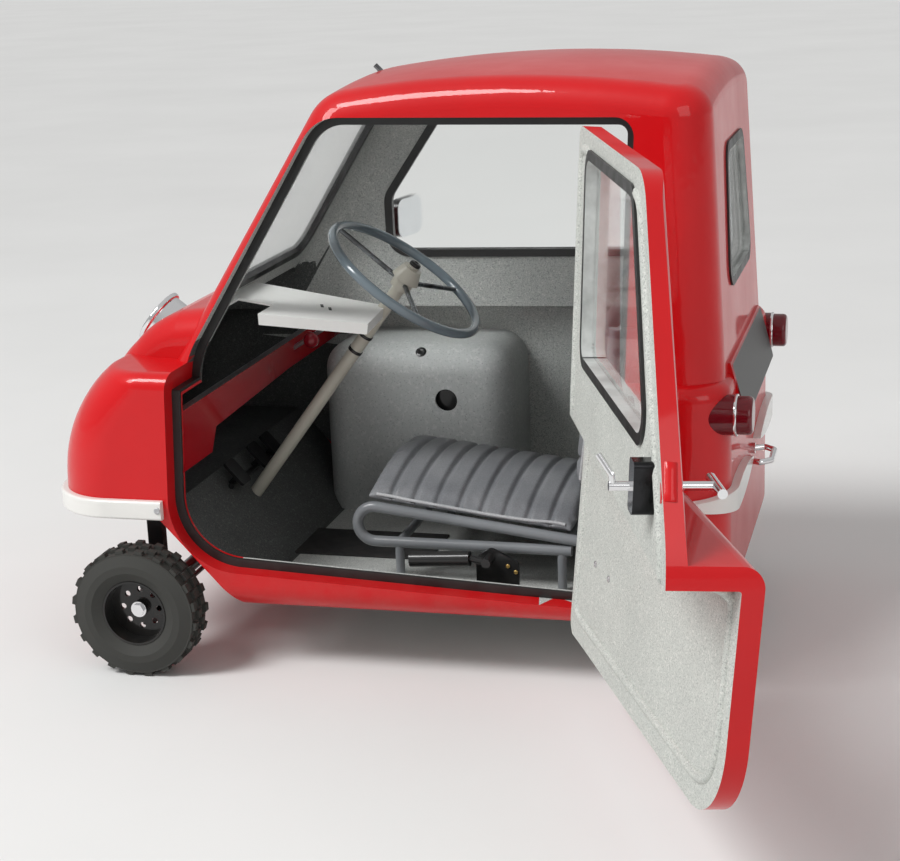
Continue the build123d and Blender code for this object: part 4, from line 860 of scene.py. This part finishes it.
# Sub-assemblies
@dataclass
class Shell:
    """Upper and lower body mouldings, red outside and flecked inside, with painted shade in the front of the
    nose.

    Attributes:
        nodes: The two mouldings.
        turn: A face that looks further from its outward way than this cosine is inside.
        sure: Facing above which the nearest outward way is trusted at any depth.
        deep: Depth below the hull down to which it is trusted in every case.
        lift: How far above a face its test lines start.
        reach: How far a test line looks for the opposite wall.
        enough: How many of the five test lines have to meet a wall.
        behind: Middle of the cab, which lined faces look at.
        back_turn: The cosine for that test.
        nose_shade_x: Where the painted shade inside the nose starts.
        nose_shade_top: How high it reaches.
        jamb_x: Where the painted jamb ahead of the door starts.
        jamb_y: How far in it reaches.
    """

    nodes: tuple[str, ...] = ("upper_body", "lower_body")
    turn: float = -0.25
    sure: float = 0.8
    deep: float = 0.030
    lift: float = 0.002
    reach: float = 1.3
    enough: int = 3
    behind: Point = (0.20, 0.0, 0.42)
    back_turn: float = -0.15
    nose_shade_x: float = 0.262
    nose_shade_top: float = 0.560
    jamb_x: float = 0.1
    jamb_y: float = 0.27
    hull: BVHTree | None = field(default=None, repr=False)
    walls: tuple[BVHTree, ...] = field(default=(), repr=False)

    def wrap(self) -> None:
        """Makes the convex hull that says which way is out."""
        mesh = bmesh.new()
        for node in self.nodes:
            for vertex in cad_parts[node].data.vertices:
                mesh.verts.new(vertex.co)
        bmesh.ops.convex_hull(mesh, input=mesh.verts)
        loose = [vertex for vertex in mesh.verts if not vertex.link_faces]
        bmesh.ops.delete(mesh, geom=loose, context="VERTS")
        bmesh.ops.recalc_face_normals(mesh, faces=mesh.faces)
        self.hull = BVHTree.FromBMesh(mesh)
        mesh.free()
        self.walls = tuple(Surface(node).tree for node in self.nodes)

    def part(self, center: Vector, normal: Vector) -> int:
        """Says whether a face is outside (0), lined (1) or lined with painted shade in the nose (2)."""
        if not self.inside(center, normal):
            return 0
        return 2 if center.x > self.nose_shade_x and center.z < self.nose_shade_top else 1

    def inside(self, center: Vector, normal: Vector) -> bool:
        """Says whether a face belongs to the lined inside.

        Args:
            center: The face's centre.
            normal: Its normal.

        Returns:
            True for a lined face, False for a painted one.
        """
        _, outward, _, depth = self.hull.find_nearest(center)
        facing = normal.dot(outward)
        if depth <= self.deep or abs(facing) > self.sure:
            return facing < self.turn
        if center.y > self.jamb_y and center.x > self.jamb_x and normal.y > self.turn:
            return False
        if normal.dot((center - Vector(self.behind)).normalized()) < self.back_turn:
            return True
        start = center + normal * self.lift
        side = normal.orthogonal().normalized()
        tilts = (-side, side, -normal.cross(side), normal.cross(side))
        ways = [normal, *(normal + tilt for tilt in tilts)]
        return sum(self.meets(start, way) for way in ways) >= self.enough

    def meets(self, start: Vector, way: Vector) -> bool:
        """Says whether a line meets one of the mouldings within reach."""
        return any(wall.ray_cast(start, way, self.reach)[0] is not None for wall in self.walls)

    def dress(self) -> None:
        """Paints the shell's outside, lines its inside, paints shade into the front of the nose and dresses
        what it carries.
        """
        self.wrap()
        # The third finish is painted shade: a near-black lining low in the front of the nose.
        for node in self.nodes:
            dress(node, Shade.BODY_RED, Shade.LINING, Shade.NOSE_INSIDE, rule=self.part)
        dress_each(Shade.LINING, "floor_pan", "rear_wheel_box")
        dress_each(Shade.COVER, "engine_cover")
        # The engine block's black is partly its dark casting and partly painted shade, so that the hole in the
        # engine cover shows black.
        dress_each(Shade.BLACK, "engine_block")
        dress_each(Shade.SHELF, "steering_shelf")
        for end in ("front", "rear"):
            dress_each(Shade.BUMPER, f"{end}_bumper_left", f"{end}_bumper_right")
        dress_each(Shade.SEAL, "door_opening_seal", "windscreen_seal", "side_seal")
        dress_seal("rear_seal")
        dress_each(Shade.PANE, "windscreen", "side_glass", "rear_glass")
        dress_each(Shade.CHROME, "lifting_handle")
        dress_each(Shade.SMOKED, "wiper")
        dress_each(Shade.BODY_RED, "hinge_body_lower", "hinge_body_upper")


@dataclass
class Door:
    """Open door: red skin, flecked inner pan, window and latch.

    Attributes:
        inner: The way that the open door's inner pan looks.
        turn: A face that looks nearer to it than this cosine belongs to the pan.
        angle: How far the door stands open, in degrees.
        hinge_foot: A point on the hinges' line.
        hinge_axis: The way that line runs.
        latch_depth: Thickness of the latch's black body, below its bright lever.
        bead_radius: Radius of the roll round the pan.
        bead_sink: How far the roll's middle lies below the pan.
        outline: Corners of the roll on the shut door: x, z and corner radius in millimetres.
        bead_side: Where its test lines start beside the shut door, in millimetres.
        bend_step: Length of a corner's step, in millimetres.
        run_step: Length of a step along the roll, in millimetres.
        screw_places: Pixels where the pan's two screws show.
        boss_across: Pixel column of the boss beside the latch.
        boss_rows: Pixel rows that the boss passes.
        boss_radius: The boss's radius.
        boss_sink: How far its middle lies below the door's edge.
        boss_taper: Over how many radii its ends would widen to the full width.
        boss_tip: The share of its width that is left at the very ends.
    """

    inner: Point = (0.918, 0.397, 0.0)
    turn: float = 0.18
    angle: float = 113.4
    hinge_foot: Point = (-0.486, 0.470, 0.070)
    hinge_axis: Point = (-0.040, -0.048, 1.0)
    latch_depth: float = 0.0305
    bead_radius: float = 0.0095
    bead_sink: float = 0.0040
    outline: tuple[Point, ...] = (
        (-426.0, 78.0, 30.0),
        (378.0, 122.0, 104.0),
        (360.0, 470.0, 140.0),
        (85.0, 902.0, 58.0),
        (-458.0, 902.0, 28.0),
    )
    bead_side: float = 300.0
    bend_step: float = 12.0
    run_step: float = 22.0
    screw_places: tuple[Pixel, ...] = ((596.0, 564.0), (609.0, 579.0))
    boss_across: float = 671.0
    boss_rows: tuple[float, ...] = (462.0, 470.0, 478.0, 486.0, 494.0, 502.0)
    boss_radius: float = 0.012
    boss_sink: float = 0.0078
    boss_taper: float = 2.4
    boss_tip: float = 0.35

    def part(self, center: Vector, normal: Vector) -> int:
        """Says whether a face is skin (0) or inner pan (1)."""
        return int(normal.dot(Vector(self.inner)) > self.turn)

    def dress(self) -> None:
        """Paints and lines the door and its fittings."""
        dress("door_panel", Shade.BODY_RED, Shade.DOOR_LINING, rule=self.part)
        dress_each(Shade.PANE, "door_glass")
        dress_seal("door_window_seal")
        inner = Vector(self.inner)
        foot = min(inner.dot(vertex.co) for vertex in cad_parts["door_latch"].data.vertices)
        lever = foot + self.latch_depth
        dress("door_latch", Shade.LATCH, Shade.CHROME, rule=lambda center, _: int(center.dot(inner) > lever))
        dress_each(Shade.CHROME, "door_handle")
        dress_each(Shade.BODY_RED, "hinge_door_lower", "hinge_door_upper")
        self.bead()
        self.boss()
        screws = seated(Screw(0.0055, 0.002), "door_panel", *self.screw_places)
        finish_piece(screws, "door_screws", Shade.STEEL, DOOR_BODY)

    def opened(self, x: float, y: float, z: float) -> Vector:
        """Opens the shut door, from which a point is given in millimetres.

        Args:
            x: How far forward it lies.
            y: How far to the left.
            z: How far up.

        Returns:
            Its place on the open door, in metres.
        """
        turn = Matrix.Rotation(math.radians(self.angle), 4, Vector(self.hinge_axis))
        foot = Vector(self.hinge_foot)
        return turn @ (Vector((x, y, z)) / 1000.0 - foot) + foot

    def rounded(self) -> list[Vector]:
        """Returns the bead's outline, with rounded corners and even steps between them."""
        corners = [Vector(row[:2]) for row in self.outline]
        bends: list[Vector] = []
        for place, (x, z, radius) in enumerate(self.outline):
            here = Vector((x, z))
            back = (corners[place - 1] - here).normalized()
            onward = (corners[(place + 1) % len(corners)] - here).normalized()
            half = math.acos(max(-1.0, min(1.0, back.dot(onward)))) / 2
            reach = radius / math.tan(half)
            start, stop = here + back * reach, here + onward * reach
            steps = max(3, int(radius / self.bend_step))
            for step in range(steps + 1):
                share = step / steps
                bends.append(start.lerp(here, share).lerp(here.lerp(stop, share), share))
        full: list[Vector] = []
        for place, point in enumerate(bends):
            following = bends[(place + 1) % len(bends)]
            pieces = max(1, int((following - point).length / self.run_step))
            full += [point.lerp(following, step / pieces) for step in range(pieces)]
        return full

    def bead(self) -> None:
        """Lays the moulded roll round the inner pan's border."""
        surface = Surface("door_panel")
        inner = Vector(self.inner).normalized()
        starts = [self.opened(x, self.bead_side, z) + inner * 0.05 for x, z in self.rounded()]
        found = [surface.hit(start, -inner) for start in starts]
        points = [hit[0] - inner * self.bead_sink for hit in found if hit]
        roll = tube("door_bead", points, self.bead_radius, closed=True)
        finish_piece(roll, "door_bead", Shade.DOOR_LINING, DOOR_BODY)

    def boss(self) -> None:
        """Raises the half-round boss on the door's edge beside the latch, with narrowed ends."""
        surface = Surface("door_panel")
        seen = [surface.seen(self.boss_across, down) for down in self.boss_rows]
        line = [point - normal * self.boss_sink for point, normal in seen]
        roll = tube("latch_boss", line, self.boss_radius)
        for vertex in roll.data.vertices:
            place = vertex.co.copy()
            end = min((place - line[0]).length, (place - line[-1]).length)
            if end < self.boss_radius:
                nearest = min(line, key=lambda point: (point - place).length)
                share = math.sqrt(end / (self.boss_taper * self.boss_radius))
                vertex.co = nearest.lerp(place, self.boss_tip + (1.0 - self.boss_tip) * share)
        finish_piece(roll, "latch_boss", Shade.BODY_RED, DOOR_BODY)


@dataclass
class Steering:
    """Steering wheel, column with its bands, dash shelf's slots and the linkage below."""

    centre: Point = (0.020, 0.050, 0.592)
    axis: Point = (-0.603584, 0.0, 0.797299)
    rim_from: float = 0.150
    hub_radius: float = 0.045
    column_low: Point = (0.344, 0.050, 0.164)
    bands: tuple[float, ...] = (0.345, 0.385)
    band: Ring = field(default_factory=lambda: Ring(0.0156, 0.0135, 0.007))
    button: Screw = field(default_factory=lambda: Screw(0.012, 0.006))
    shelf_slot: Slab = field(default_factory=lambda: Slab(0.020, 0.006, 0.0012, 0.0028, turn=0.4))
    slot_places: tuple[Pixel, ...] = ((322.0, 306.0), (330.0, 309.0))

    def part(self, center: Vector, normal: Vector) -> int:
        """Says whether a face is rim (0), spoke (1) or hub (2)."""
        axis = Vector(self.axis)
        offset = center - Vector(self.centre)
        radius = (offset - axis * offset.dot(axis)).length
        if radius > self.rim_from:
            return 0
        return 2 if radius < self.hub_radius else 1

    def dress(self) -> None:
        """Gives the wheel its three finishes and the column its cream."""
        dress("steering_wheel", Shade.WHEEL_RIM, Shade.SPOKE, Shade.CREAM, rule=self.part)
        dress_each(Shade.CREAM, "steering_column")
        dress_each(Shade.BLACK, "tie_rod", "knuckle_left", "knuckle_right", "front_axle_beam")
        axis = Vector(self.axis)
        for number, distance in enumerate(self.bands, 1):
            band = self.band.build(Vector(self.column_low) + axis * distance, axis)
            finish_piece(band, f"column_band_{number}", Shade.BLACK, CAB_BODY)
        top, _ = Surface("steering_wheel").hit(Vector(self.centre) + axis * 0.3, -axis)
        button = self.button.build(top, axis)
        finish_piece(button, "wheel_button", Shade.BLACK, "steering_wheel")
        slots = seated(self.shelf_slot, "steering_shelf", *self.slot_places)
        finish_piece(slots, "shelf_slots", Shade.BLACK, CAB_BODY)


@dataclass
class Controls:
    """Crossmember, gear lever, handbrake, pedals, and small fittings near them."""

    ball: Point = (0.290, -0.122, 0.420)
    ball_radius: float = 0.0185
    steel_turn: float = 0.75
    mat_and_shade: Slab = field(default_factory=lambda: Slab(0.160, 0.400, 0.004, 0.020, turn=math.pi / 2))
    mat_and_shade_at: Point = (0.176, 0.030, 0.012)
    bolt_places: tuple[Pixel, ...] = ((508.0, 566.0), (516.0, 572.0))
    hook_shade_place: Pixel = (421.0, 352.0)
    bumper_screw: Pixel = (157.0, 511.0)

    def lever_part(self, center: Vector, normal: Vector) -> int:
        """Says whether a face is rod (0) or ball (1)."""
        return int((center - Vector(self.ball)).length < self.ball_radius)

    def beam_part(self, center: Vector, normal: Vector) -> int:
        """Says whether a face is painted (0) or the bare top edge (1)."""
        return int(normal.z > self.steel_turn)

    def dress(self) -> None:
        """Gives the controls their paint and metal."""
        dress("front_crossmember", Shade.FRAME_RED, Shade.STEEL, rule=self.beam_part)
        dress("gear_lever", Shade.STEEL, Shade.KNOB_RED, rule=self.lever_part)
        dress_each(Shade.BLACK, "handbrake", "pedals")
        # The foot mat is black rubber laid where the footwell lies in shade, so its black is partly painted
        # shade.
        mat_and_shade = self.mat_and_shade.build(Vector(self.mat_and_shade_at), Vector((0.0, 0.0, 1.0)))
        finish_piece(mat_and_shade, "foot_mat_and_shade", Shade.FLOOR_MAT, CAB_BODY)
        bolts = seated(Screw(0.0045, 0.0025, 6), "handbrake", *self.bolt_places)
        finish_piece(bolts, "handbrake_bolts", Shade.BRASS, CAB_BODY)
        # Painted shade: a black disc on the engine cover stands for the shaded hollow of its hook.
        hook_shade = seated(Screw(0.012, 0.002), "engine_cover", self.hook_shade_place)
        finish_piece(hook_shade, "cover_hook_shade", Shade.BLACK, CAB_BODY)
        screw = seated(Screw(0.0065, 0.002), "front_bumper_left", self.bumper_screw)
        finish_piece(screw, "bumper_screw", Shade.STEEL, CAB_BODY)


@dataclass
class Wheels:
    """Three knobbly tyres on black rims with bright hexagonal caps."""

    centres: tuple[tuple[str, Point], ...] = (
        ("front_left", (0.481, 0.435, 0.001)),
        ("front_right", (0.481, -0.435, 0.001)),
        ("rear", (-0.519, 0.0, 0.001)),
    )
    cap_radius: float = 0.0165
    cap_from: float = 0.0075

    def dress(self) -> None:
        """Gives tyres, rims and caps their finishes."""
        for name, centre in self.centres:

            def part(center: Vector, normal: Vector, middle: Vector = Vector(centre)) -> int:
                """Says whether a face is rim (0) or cap (1)."""
                offset = center - middle
                return int(math.hypot(offset.x, offset.z) < self.cap_radius and abs(offset.y) > self.cap_from)

            dress(f"tyre_{name}", Shade.TYRE)
            dress(f"rim_{name}", Shade.RIM, Shade.CHROME, rule=part)
        dress_each(Shade.BLACK, "rear_fork")


@dataclass
class Lamps:
    """Headlamp, tail lamps with their rings, mirror and number plate."""

    plate_face: Point = (-0.966, 0.0, 0.259)
    plate_turn: float = 0.9
    mirror_turn: float = -0.8
    ring: Ring = field(default_factory=lambda: Ring(0.0385, 0.0335, 0.006))
    ring_at: Point = (-0.6765, 0.352, 0.411)

    def plate_part(self, center: Vector, normal: Vector) -> int:
        """Says whether a face is the plate's black front (0) or its bright edge (1)."""
        return int(normal.dot(Vector(self.plate_face)) < self.plate_turn)

    def mirror_part(self, center: Vector, normal: Vector) -> int:
        """Says whether a face is the mirror's case (0) or its glass (1)."""
        return int(normal.x < self.mirror_turn)

    def dress(self) -> None:
        """Gives the lamps, mirror and plate their finishes."""
        dress_each(Shade.CHROME, "headlamp_bezel")
        dress_each(Shade.LAMP, "headlamp_lens")
        dress_each(Shade.TAIL, "tail_lamp_left", "tail_lamp_right")
        dress("number_plate", Shade.PLATE, Shade.CHROME, rule=self.plate_part)
        dress("mirror", Shade.BLACK, Shade.MIRROR, rule=self.mirror_part)
        x, y, z = self.ring_at
        for side, across in (("left", y), ("right", -y)):
            ring = self.ring.build(Vector((x, across, z)), Vector((-1.0, 0.0, 0.0)))
            finish_piece(ring, f"tail_ring_{side}", Shade.CHROME, CAB_BODY)


@dataclass(frozen=True)
class PadShape:
    """Sizes of one seat pad.

    Attributes:
        node: The CAD node that it replaces.
        name: Its own name.
        origin: The corner of the seat that both pads start from.
        along: The way that it runs from there.
        channels: How many cushioned strips it has.
        cap: The most that filling moves a point.
        groove: Depth of a sewn channel.
        groove_width: Its half width.
        voxel: Grain of the mesh that is filled.
    """

    node: str
    name: str
    origin: Point
    along: Point
    channels: int
    cap: float
    groove: float = 0.0085
    groove_width: float = 0.0052
    voxel: float = 0.006

    def up(self) -> Vector:
        """Returns the direction that the sewn face looks in."""
        up = Vector((0.0, 1.0, 0.0)).cross(Vector(self.along))
        return -up if up.dot(Vector((1.0, 0.0, 1.0))) < 0 else up


@dataclass
class Seat:
    """Two vinyl pads with sewn channels and piping on a tube frame.

    Attributes:
        shapes: The cushion and the backrest.
        pressure: Pressure that fills a pad.
        frames: How many steps it is filled for.
        quality: The cloth's steps in each of them.
        shrink: How much smaller a pad starts than its solid.
        smooth_share: Share of each smoothing round.
        smooth_rounds: How many there are.
        pipe_radius: Radius of the piping.
        pipe_step: Distance between two points of it.
        pipe_end: How far from a pad's end it stops.
        pipe_slice: Half of the stretch that one of its points looks over.
        pipe_rise: How much height counts beside width in finding the seam.
        pipe_rounds: How often its line is smoothed.
    """

    shapes: tuple[PadShape, ...] = (
        PadShape("seat_cushion", "seat_pad", (-0.400, 0.040, 0.112), (0.9922, 0.0, 0.1248), 9, 0.008),
        PadShape("seat_backrest", "back_pad", (-0.400, 0.040, 0.112), (-0.0931, 0.0, 0.9957), 6, 0.010),
    )
    pressure: float = 4.0
    frames: int = 20
    quality: int = 5
    shrink: float = 0.004
    smooth_share: float = 0.6
    smooth_rounds: int = 6
    pipe_radius: float = 0.0034
    pipe_step: float = 0.016
    pipe_end: float = 0.010
    pipe_slice: float = 0.006
    pipe_rise: float = 0.7
    pipe_rounds: int = 3

    def dress(self) -> None:
        """Builds both pads and paints the frame."""
        dress_each(Shade.TUBE, "seat_frame")
        for shape in self.shapes:
            self.pipe(self.pad(shape), shape)

    def copy_of(self, node: str) -> bpy.types.Object:
        """Copies a CAD node and merges its loose triangles.

        Args:
            node: The node's name.

        Returns:
            The copy, selected and active.
        """
        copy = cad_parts[node].copy()
        copy.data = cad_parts[node].data.copy()
        for key in list(copy.keys()):
            del copy[key]
        copy.parent = None
        bpy.context.scene.collection.objects.link(copy)
        choose(copy)
        bpy.ops.object.mode_set(mode="EDIT")
        bpy.ops.mesh.select_all(action="SELECT")
        bpy.ops.mesh.remove_doubles(threshold=0.00002)
        bpy.ops.object.mode_set(mode="OBJECT")
        return copy

    def swell(self, pad: bpy.types.Object, shape: PadShape) -> None:
        """Blows the pad up as cloth, and caps how far its points move.

        Args:
            pad: The pad.
            shape: Its sizes.
        """
        before = [vertex.co.copy() for vertex in pad.data.vertices]
        cloth = pad.modifiers.new("fill", "CLOTH")
        cloth.settings.use_pressure = True
        cloth.settings.uniform_pressure_force = self.pressure
        cloth.settings.effector_weights.gravity = 0.0
        cloth.settings.quality = self.quality
        cloth.point_cache.frame_start, cloth.point_cache.frame_end = 1, self.frames
        for number in range(1, self.frames + 1):
            bpy.context.scene.frame_set(number)
        evaluated = pad.evaluated_get(bpy.context.evaluated_depsgraph_get())
        after = [vertex.co.copy() for vertex in evaluated.data.vertices]
        pad.modifiers.remove(cloth)
        bpy.context.scene.frame_set(1)
        for vertex, old, new in zip(pad.data.vertices, before, after):
            move = new - old
            if move.length > shape.cap:
                move.length = shape.cap
            vertex.co = old + move

    def pad(self, shape: PadShape) -> bpy.types.Object:
        """Makes one padded piece from its CAD solid.

        Args:
            shape: The pad's sizes.

        Returns:
            The finished pad.
        """
        pad = self.copy_of(shape.node)
        shrink = pad.modifiers.new("shrink", "DISPLACE")
        shrink.strength, shrink.mid_level = -self.shrink, 0.0
        remesh = pad.modifiers.new("remesh", "REMESH")
        remesh.mode, remesh.voxel_size = "VOXEL", shape.voxel
        smooth = pad.modifiers.new("smooth", "SMOOTH")
        smooth.factor, smooth.iterations = self.smooth_share, self.smooth_rounds
        for change in ("shrink", "remesh", "smooth"):
            bpy.ops.object.modifier_apply(modifier=change)
        self.swell(pad, shape)
        finer = pad.modifiers.new("finer", "SUBSURF")
        finer.levels = finer.render_levels = 1
        bpy.ops.object.modifier_apply(modifier="finer")
        self.sew(pad, shape)
        bpy.ops.object.shade_smooth()
        finish_piece(pad, shape.name, Shade.VINYL, CAB_BODY)
        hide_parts(shape.node)
        return pad

    def pipe(self, pad: bpy.types.Object, shape: PadShape) -> None:
        """Sews a round piping along both long edges of a pad.

        Args:
            pad: The finished pad.
            shape: The pad's sizes.
        """
        along, up, origin = Vector(shape.along), shape.up(), Vector(shape.origin)
        points = [vertex.co.copy() for vertex in pad.data.vertices]
        spans = [(point - origin).dot(along) for point in points]
        low, high = min(spans), max(spans)
        steps = int((high - low - 2 * self.pipe_end) / self.pipe_step)
        for side, name in ((1.0, "left"), (-1.0, "right")):

            def outer(point: Vector, side: float = side) -> float:
                """Says how far out towards the seam a point lies."""
                return side * (point - origin).y + self.pipe_rise * (point - origin).dot(up)

            line = []
            for step in range(steps + 1):
                at = low + self.pipe_end + step * self.pipe_step
                near = [point for point, span in zip(points, spans) if abs(span - at) < self.pipe_slice]
                if near:
                    line.append(max(near, key=outer))
            for _ in range(self.pipe_rounds):
                middle = [(line[i - 1] + line[i] * 2 + line[i + 1]) / 4 for i in range(1, len(line) - 1)]
                line = [line[0], *middle, line[-1]]
            roll = tube(f"{shape.name}_piping_{name}", line, self.pipe_radius)
            finish_piece(roll, f"{shape.name}_piping_{name}", Shade.PIPING, CAB_BODY)

    def sew(self, pad: bpy.types.Object, shape: PadShape) -> None:
        """Presses the cross channels into the pad.

        Args:
            pad: The pad.
            shape: Its sizes.
        """
        along, up, origin = Vector(shape.along), shape.up(), Vector(shape.origin)
        spans = [(vertex.co - origin).dot(along) for vertex in pad.data.vertices]
        normals = [vertex.normal.copy() for vertex in pad.data.vertices]
        start = min(spans)
        pitch = (max(spans) - start) / shape.channels
        for vertex, span, normal in zip(pad.data.vertices, spans, normals):
            place = (span - start) / pitch
            seam = round(place)
            if 0 < seam < shape.channels:
                gap = abs(place - seam) * pitch
                facing = max(0.0, normal.dot(up))
                press = shape.groove * math.exp(-((gap / shape.groove_width) ** 2)) * facing**0.5
                vertex.co -= up * press


# Stage
@dataclass(frozen=True)
class Light:
    """One light of the studio: a square lamp, or the sun, whose size is an angle."""

    name: str
    kind: str
    power: float
    size: float
    at: Point
    aim: Point

    def place(self) -> None:
        """Adds the light to the scene, facing its aim."""
        data = bpy.data.lights.new(self.name, self.kind)
        data.energy = self.power
        setattr(data, "angle" if self.kind == "SUN" else "size", self.size)
        lamp = bpy.data.objects.new(self.name, data)
        bpy.context.scene.collection.objects.link(lamp)
        way = Vector(self.aim) - Vector(self.at)
        lamp.matrix_world = Matrix.Translation(self.at) @ way.to_track_quat("-Z", "Y").to_matrix().to_4x4()


@dataclass
class Studio:
    """Pale floor, soft lights, a world with a pale backdrop, and the camera.

    Attributes:
        floor_z: Height of the ground below the part's origin.
        floor_half: The floor's radius.
        lights: The broad main light and two soft lamps.
        horizon: The world's colour at the horizon.
        zenith: Its colour above.
        rise: The heights, on a unit ball, between which one turns into the other.
        backdrop: What the camera and glass see of the world.
        glossy_share: How much of it gloss sees.
    """

    floor_z: float = -0.130
    floor_half: float = 60.0
    lights: tuple[Light, ...] = (
        Light("main", "SUN", 1.7, 0.35, (0.0, 0.0, 0.0), (-0.55, -0.55, -1.0)),
        Light("key", "AREA", 70.0, 1.4, (3.2, 2.6, 3.4), (0.0, 0.0, 0.35)),
        Light("fill", "AREA", 36.0, 2.6, (-3.6, 3.4, 2.4), (0.0, 0.0, 0.35)),
    )
    horizon: Color = (0.18, 0.185, 0.19)
    zenith: Color = (0.50, 0.50, 0.50)
    rise: tuple[float, float] = (-0.05, 0.7)
    backdrop: Color = (0.62, 0.62, 0.615)
    glossy_share: float = 0.5

    def floor(self) -> None:
        """Lays the pale floor, a flat disc with its rim far away."""
        choose()
        at = (0, 0, self.floor_z)
        bpy.ops.mesh.primitive_circle_add(vertices=96, radius=self.floor_half, fill_type="NGON", location=at)
        floor = bpy.context.object
        floor.name = "studio_floor"
        floor.data.materials.append(Shade.STUDIO_FLOOR.value.material())

    def world(self) -> None:
        """Lights the room evenly, brighter above than at the horizon."""
        world = bpy.data.worlds.new("studio")
        bpy.context.scene.world = world
        world.use_nodes = True
        graph = Graph(world.node_tree)
        back = world.node_tree.nodes["Background"]
        place = graph.add("ShaderNodeTexCoord").outputs["Generated"]
        height = graph.add("ShaderNodeSeparateXYZ", {0: place}).outputs[2]
        lit = graph.mix(graph.span(height, *self.rise), self.horizon, self.zenith)
        rays = graph.add("ShaderNodeLightPath").outputs
        seen = graph.math("MAXIMUM", rays["Is Camera Ray"], rays["Is Transmission Ray"])
        seen = graph.math("MAXIMUM", seen, graph.math("MULTIPLY", rays["Is Glossy Ray"], self.glossy_share))
        graph.feed(back.inputs["Color"], graph.mix(seen, lit, self.backdrop))
        back.inputs["Strength"].default_value = 1.0

    def build(self) -> None:
        """Sets the stage."""
        self.floor()
        for light in self.lights:
            light.place()
        self.world()
        CAMERA.place()
        bpy.context.scene.view_settings.view_transform = "Standard"


def main() -> None:
    """Builds the stage and each sub-assembly."""
    logging.basicConfig(level=logging.INFO, format="%(name)s: %(message)s")
    Studio().build()
    for part in (Shell(), Door(), Steering(), Controls(), Wheels(), Lamps(), Seat()):
        part.dress()
        LOG.info("finished %s", type(part).__name__)


if __name__ == "__main__":
    main()
